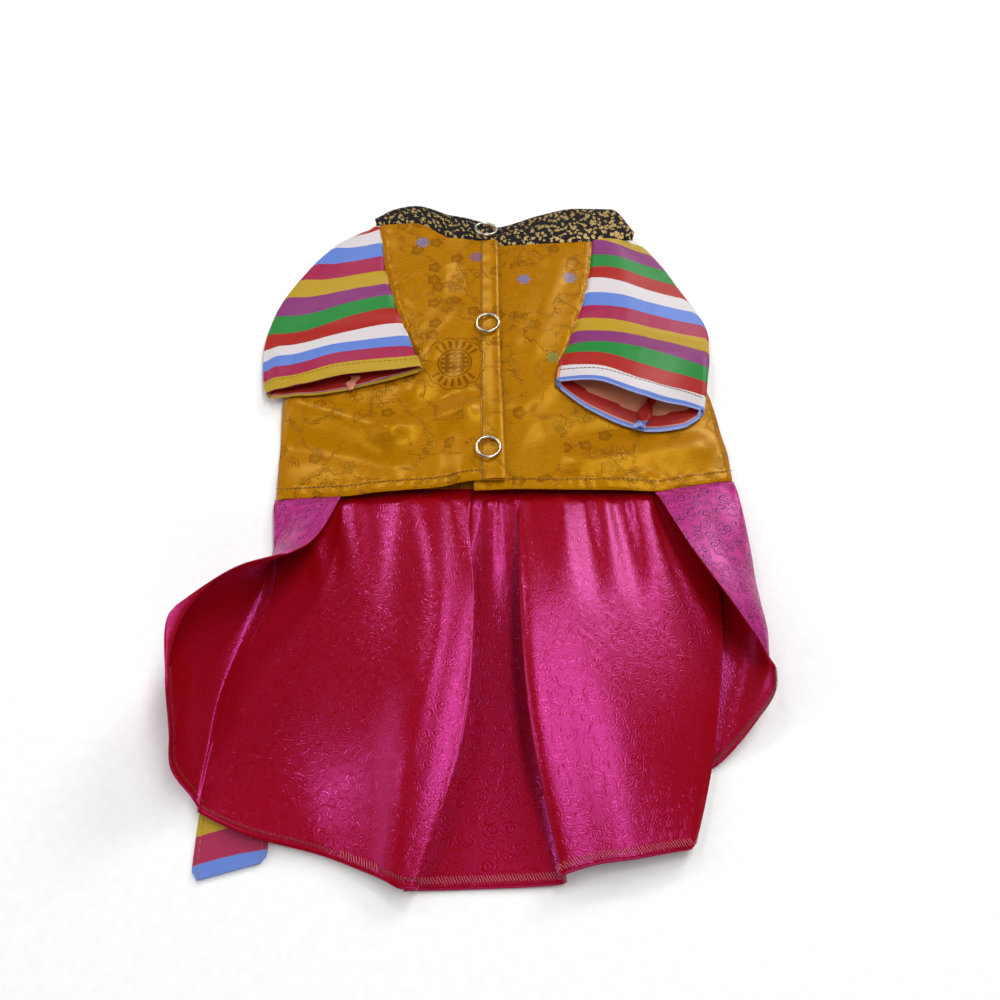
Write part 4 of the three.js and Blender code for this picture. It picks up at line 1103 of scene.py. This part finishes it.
def ring_snap(number, at, on_band, lean):
    turns = np.linspace(0, 2 * math.pi, RING_STEPS + 1)[:-1]
    section = np.array(RING_SECTION)
    radius, height = np.meshgrid(section[:, 0], turns)[0], np.meshgrid(section[:, 1], turns)[0]
    turn = np.repeat(turns[:, None], len(section), axis=1)
    tooth = np.maximum(0, np.cos(TEETH * turn)) ** 6 * np.clip((4.3 - radius) / 0.4, 0, 1)
    radius = radius - 0.35 * tooth
    height = height - 0.12 * tooth
    base = float(left_front_height(np.array(at[0]), np.array(at[1]))) + on_band + 0.65
    tilt = np.radians(lean)
    px, py = radius * np.cos(turn), radius * np.sin(turn)
    pz = height + px * math.tan(tilt[1]) + py * math.tan(tilt[0]) * 0.5
    verts = np.dstack([at[0] + px, at[1] + py, base + pz]).reshape(-1, 3)
    count = len(section)
    faces = []
    for i in range(RING_STEPS):
        j = (i + 1) % RING_STEPS
        for k in range(count):
            m = (k + 1) % count
            faces.append((i * count + k, i * count + m, j * count + m, j * count + k))
    faces = np.array(faces)
    piece = mesh_piece(f"ring_snap_{number}", verts, faces, [nickel_plate])
    centre = verts[:count].mean(axis=0)
    normal = np.cross(verts[faces[3][1]] - verts[faces[3][0]], verts[faces[3][2]] - verts[faces[3][0]])
    if np.dot(normal, verts[faces[3][0]] - centre) < 0:
        piece.data.flip_normals()
    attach(piece, "root")
    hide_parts(f"snap_ring_{number}")
    return piece


rings = [ring_snap(i + 1, **snap) for i, snap in enumerate(SNAPS)]
print("ring snaps:", len(rings))

# %% [markdown]
# ## Stitches
# A stitch is a short length of thread that repeats along a seam, so Geometry Nodes set copies of one
# along a guide curve. Their length, spacing, thread and lean are named inputs: a lean of 0 is a straight
# stitch, and one of about 1 radian lies slantwise over the edge, as overlocking does. A little chance
# turns each one.

# %% Stitch tree
def stitch_tree():
    tree = bpy.data.node_groups.new("stitches_along_a_seam", "GeometryNodeTree")
    sockets = {}
    for label, kind in (("Seam", "Geometry"), ("Spacing", "Float"), ("Length", "Float"), ("Thread", "Float"),
                        ("Lean", "Float"), ("Seed", "Int"), ("Material", "Material")):
        sockets[label] = tree.interface.new_socket(label, in_out="INPUT", socket_type="NodeSocket" + kind)
    tree.interface.new_socket("Stitches", in_out="OUTPUT", socket_type="NodeSocketGeometry")
    start, end = tree.nodes.new("NodeGroupInput"), tree.nodes.new("NodeGroupOutput")
    points = add_node(tree, "GeometryNodeCurveToPoints", {0: start.outputs["Seam"], 2: start.outputs["Spacing"]},
                      mode="LENGTH")
    body = add_node(tree, "GeometryNodeMeshUVSphere", {"Segments": 6, "Rings": 5, "Radius": 1.0})
    chance = add_node(tree, "FunctionNodeRandomValue", {2: -0.14, 3: 0.14, "Seed": start.outputs["Seed"]},
                      data_type="FLOAT")
    lean = add_node(tree, MATH, {0: start.outputs["Lean"], 1: chance.outputs[1]}, operation="ADD")
    swing = add_node(tree, "ShaderNodeCombineXYZ", {1: lean})
    turned = add_node(tree, "FunctionNodeRotateRotation", {0: points.outputs["Rotation"], 1: swing},
                      rotation_space="LOCAL")
    half = add_node(tree, MATH, {0: start.outputs["Length"], 1: 0.5}, operation="MULTIPLY")
    size = add_node(tree, "ShaderNodeCombineXYZ", {
        0: start.outputs["Thread"], 1: start.outputs["Thread"], 2: half})
    copies = add_node(tree, "GeometryNodeInstanceOnPoints", {
        "Points": points.outputs["Points"], "Instance": body.outputs["Mesh"], "Rotation": turned, "Scale": size})
    solid = add_node(tree, "GeometryNodeRealizeInstances", {0: copies})
    finished = add_node(tree, "GeometryNodeSetMaterial", {
        "Geometry": solid, "Material": start.outputs["Material"]})
    smooth = add_node(tree, "GeometryNodeSetShadeSmooth", {0: finished})
    tree.links.new(smooth.outputs[0], end.inputs[0])
    return tree, {label: socket.identifier for label, socket in sockets.items()}


stitches, stitch_input = stitch_tree()
print("stitch inputs:", ", ".join(stitch_input))

# %% [markdown]
# Each seam is a polyline of points on the cloth, in millimetres. The curve keeps its frame upright, so
# that the stitches lie on the surface. The modifier's result is turned into a plain mesh.

# %% Sew a row
HEM_DEPTH = 3.9  # from the fold of the bodice's hem to its stitches, mm


def sew(name, points, material, spacing=2.2, length=1.7, thread=0.16, lean=0.0, seed=1):
    curve = bpy.data.curves.new(name + "_guide", "CURVE")
    curve.dimensions = "3D"
    curve.twist_mode = "Z_UP"
    line = curve.splines.new("POLY")
    places = (np.asarray(points) + SHIFT) / 1000
    line.points.add(len(places) - 1)
    line.points.foreach_set("co", np.concatenate([places, np.ones((len(places), 1))], axis=1).ravel())
    guide = bpy.data.objects.new(name + "_guide", curve)
    bpy.context.scene.collection.objects.link(guide)
    modifier = guide.modifiers.new("stitches", "NODES")
    modifier.node_group = stitches
    for label, value in (("Spacing", spacing / 1000), ("Length", length / 1000), ("Thread", thread / 1000),
                         ("Lean", lean), ("Seed", seed), ("Material", material)):
        modifier[stitch_input[label]] = value
    bpy.context.view_layer.update()
    made = bpy.data.meshes.new_from_object(guide.evaluated_get(bpy.context.evaluated_depsgraph_get()))
    made.name = name
    bpy.data.objects.remove(guide)
    piece = bpy.data.objects.new(name, made)
    bpy.context.scene.collection.objects.link(piece)
    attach(piece, "root")
    return piece


def on_surface(grid, rise, columns=slice(None), rows=slice(None)):
    """Points of a sheet moved out to its upper side."""
    normal = normals_of(grid)
    side = np.sign(normal[..., 2].mean())
    return (grid + normal * rise * side)[rows, columns]


def height_line(x, y, height, rise):
    return np.dstack([x, y, height(x, y) + rise])[0]


across = np.linspace(0, 1, 120)
sewn_rows = []
for label, places, height, seed in (
        ("left", edge(LEFT_HEM, "x")(across * 0.93), left_front_height, 3),
        ("right", edge(RIGHT_HEM, "x")(0.14 + across * 0.86), front_height, 4)):
    line = height_line(places[0], places[1] + HEM_DEPTH, height, 0.8)
    sewn_rows.append(sew(f"{label}_hem_stitches", line, brown_thread, spacing=1.7, length=1.5,
                         seed=seed))
sewn_rows.append(sew("placket_stitches", placket_grid[:, 1] + [0, 0, 0.6], brown_thread,
                     spacing=1.6, length=1.45, seed=5))
sewn_rows.append(sew("right_cuff_stitches", on_surface(right_upper, 0.38)[6], brown_thread,
                     spacing=1.7, length=1.5, thread=0.14, seed=6))
rim_of_cuff = np.concatenate([right_upper[0], right_under[0][::-1]])
sewn_rows.append(sew("right_cuff_overlock", rim_of_cuff, blue_thread, spacing=0.42, length=1.7,
                     thread=0.30, lean=1.2, seed=7))
sewn_rows.append(sew("left_cuff_stitches", on_surface(left_upper, 0.36)[5], gold_thread,
                     spacing=2.0, length=1.5, thread=0.12, seed=8))
print("stitch rows:", len(sewn_rows))

# %% Skirt hem stitches and sash edge
hem_line = on_surface(skirt_grid, 1.0)[-5]
for label, columns, material, length in (
        ("wing", slice(12, 116), red_thread, 1.1), ("left", slice(116, 133), pink_thread, 2.8),
        ("middle", slice(133, 184), red_thread, 1.6), ("front", slice(184, 286), pink_thread, 2.8)):
    sewn_rows.append(sew(f"skirt_{label}_overlock", hem_line[columns], material, spacing=0.85,
                         length=length, thread=0.16, lean=1.1, seed=9))
sewn_rows.append(sew("skirt_edge_overlock", on_surface(side_grid, 1.0)[-4, 6:-6], red_thread,
                     spacing=0.62, length=1.7, thread=0.17, lean=1.1, seed=11))
for number, column in enumerate((2, -3)):
    sewn_rows.append(sew(f"sash_topstitch_{number + 1}", sash_grid[:, column] + [0, 0, 0.66], gold_thread,
                         spacing=2.2, length=1.7, thread=0.13, seed=12 + number))
print("stitch rows:", len(sewn_rows), "faces:", sum(len(row.data.polygons) for row in sewn_rows))

# %% [markdown]
# ## Seam allowances inside the cuffs
# The sleeve is closed by one seam, and where it ends at the cuff its overlocked allowance stands up
# inside as a short ruffled tuft. It is a narrow strip of the cloth, wavy along its free edge.

# %% Seam allowances
def allowance(name, layer, column, width, depth, rise, lean, materials, stripes, seed):
    """Ruffled strip on the inside of a sleeve's under layer, from its cuff edge to depth mm inside."""
    along, across = np.meshgrid(np.linspace(0, 1, 60), np.linspace(-0.5, 0.5, 14))
    inward = along[0] * depth
    line = layer[:, column]
    away = line[:, 1] - line[0, 1]
    base = np.stack([np.interp(inward, away, line[:, k]) for k in range(3)], 1)[None]
    taper = 0.75 + 0.25 * np.sin(math.pi * along) + 0.12 * np.sin(11 * along + seed)
    ruffle = np.sin(2 * math.pi * (1.5 * along + 0.9 * across) + seed)
    curl = (1 - ease(0, 0.3, along)) * 0.6 + 0.4
    gx = base[..., 0] + across * width * taper + lean * inward[None] + 0.5 * ruffle
    gy = base[..., 1] - 1.2 * (1 - ease(0, 0.12, along))
    gz = base[..., 2] + 0.7 + rise * curl * (0.55 + 0.45 * ruffle * np.cos(math.pi * across)) * (1 - 0.4 * along)
    grid = np.dstack([gx, gy, gz])
    number = mix(stripes[0], stripes[1], ease(0.2, 0.22, along))
    marks = {"stripe": mark(number), "cloth": grid}
    verts, faces, slots, marks, border = shell_arrays(grid, 0.45, marks)
    piece = mesh_piece(name, verts, faces, materials, slots, marks, border)
    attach(piece, "root")
    return grid


right_tuft = allowance("right_seam_allowance", right_under, 40, 5.0, 13.0, 2.6, 0.35, [stripe_face, stripe_face],
                       (9.5, 7.5), 2)
allowance("left_seam_allowance", left_under, 33, 3.4, 6.0, 1.6, 0.55, [stripe_reverse, stripe_face],
          (8.5, 8.5), 4)
sewn_rows.append(sew("right_allowance_overlock", right_tuft[:, 3] + [0, 0, 0.3], blue_thread,
                     spacing=0.5, length=2.2, thread=0.3, lean=1.3, seed=15))

# %% [markdown]
# ## Floor, light and camera
# A pale floor runs well past the picture. Satin shows its form by what it reflects, so a long narrow
# window hangs over it, a wider one stands behind the neck, and two small ones give the folds their
# gleam. Weaker lights fill in from the left and the front. The room has grey walls under a dark
# ceiling, so that level cloth keeps its depth.

# %% Floor
bpy.ops.mesh.primitive_plane_add(size=6, location=(0, 0, -0.0002))
floor = bpy.context.object
floor.name = "studio_floor"
paper, tree, shader = new_material("white_studio_paper", Roughness=0.9, Specular_IOR_Level=0.2)
place = add_node(tree, "ShaderNodeTexCoord")
pulp = add_node(tree, NOISE, {"Vector": place.outputs["Object"], "Scale": 300.0, "Detail": 2.0})
tone = add_node(tree, RAMP, {0: pulp.outputs[0]}, stops=[(0.3, "#F4F4F3"), (0.7, "#F8F8F7")])
tree.links.new(tone.outputs[0], shader.inputs["Base Color"])
floor.data.materials.append(paper)


# %% Light and camera
def soft_light(name, place, target, size, power):
    """Rectangular light whose second side lies along Y."""
    lamp = bpy.data.lights.new(name, "AREA")
    lamp.shape, lamp.size, lamp.size_y = "RECTANGLE", size[0], size[1]
    lamp.energy = power
    holder = bpy.data.objects.new(name, lamp)
    bpy.context.scene.collection.objects.link(holder)
    back = (Vector(place) - Vector(target)).normalized()
    side = Vector((0, 1, 0)).cross(back).normalized()
    holder.rotation_euler = Matrix((side, back.cross(side), back)).transposed().to_euler()
    holder.location = place


LIGHTS = [  # name, place and target in metres, size, power in watts
    ("long_window", (0.29, 0.12, 0.98), (0, -0.06, 0), (0.17, 1.0), 6.4),
    ("window_behind_the_neck", (0.68, 0.90, 0.78), (0, 0, 0), (0.45, 0.45), 6.6),
    ("small_window_left_of_the_neck", (-0.33, 0.70, 0.80), (-0.03, 0.02, 0), (0.14, 0.12), 1.5),
    ("small_lamp_to_the_left", (-0.50, -0.06, 0.88), (-0.05, -0.12, 0), (0.08, 0.07), 0.8),
    ("fill_left", (-1.1, 0.1, 0.6), (0, 0, 0), (0.8, 0.8), 5.4),
    ("fill_front", (0.3, -1.1, 0.6), (0, 0, 0), (0.8, 0.6), 3.2),
]
for light in LIGHTS:
    soft_light(*light)

world = bpy.data.worlds.new("studio")
bpy.context.scene.world = world
world.use_nodes = True
sky = world.node_tree.nodes["Background"]
direction = add_node(world.node_tree, "ShaderNodeTexCoord")
upward = add_node(world.node_tree, "ShaderNodeSeparateXYZ", {0: direction.outputs["Generated"]})
walls = add_node(world.node_tree, RAMP, {0: upward.outputs[2]}, stops=[(0.10, 0.30), (0.30, 0.07)])
world.node_tree.links.new(walls.outputs[0], sky.inputs[0])
bpy.context.scene.view_settings.view_transform = "Standard"

CAMERA_DISTANCE, CAMERA_RISE = 0.370, math.radians(60)  # metres, and angle above the ground
lens = bpy.data.cameras.new("camera")
lens.lens, lens.sensor_width, lens.clip_start = 36, 36, 0.01
camera = bpy.data.objects.new("camera", lens)
bpy.context.scene.collection.objects.link(camera)
target = Vector((0.0076, -0.0042, 0))
camera.location = target + CAMERA_DISTANCE * Vector((0, -math.cos(CAMERA_RISE), math.sin(CAMERA_RISE)))
camera.rotation_euler = (target - camera.location).to_track_quat("-Z", "Y").to_euler()
bpy.context.scene.camera = camera
print("camera", [round(value, 4) for value in camera.location])
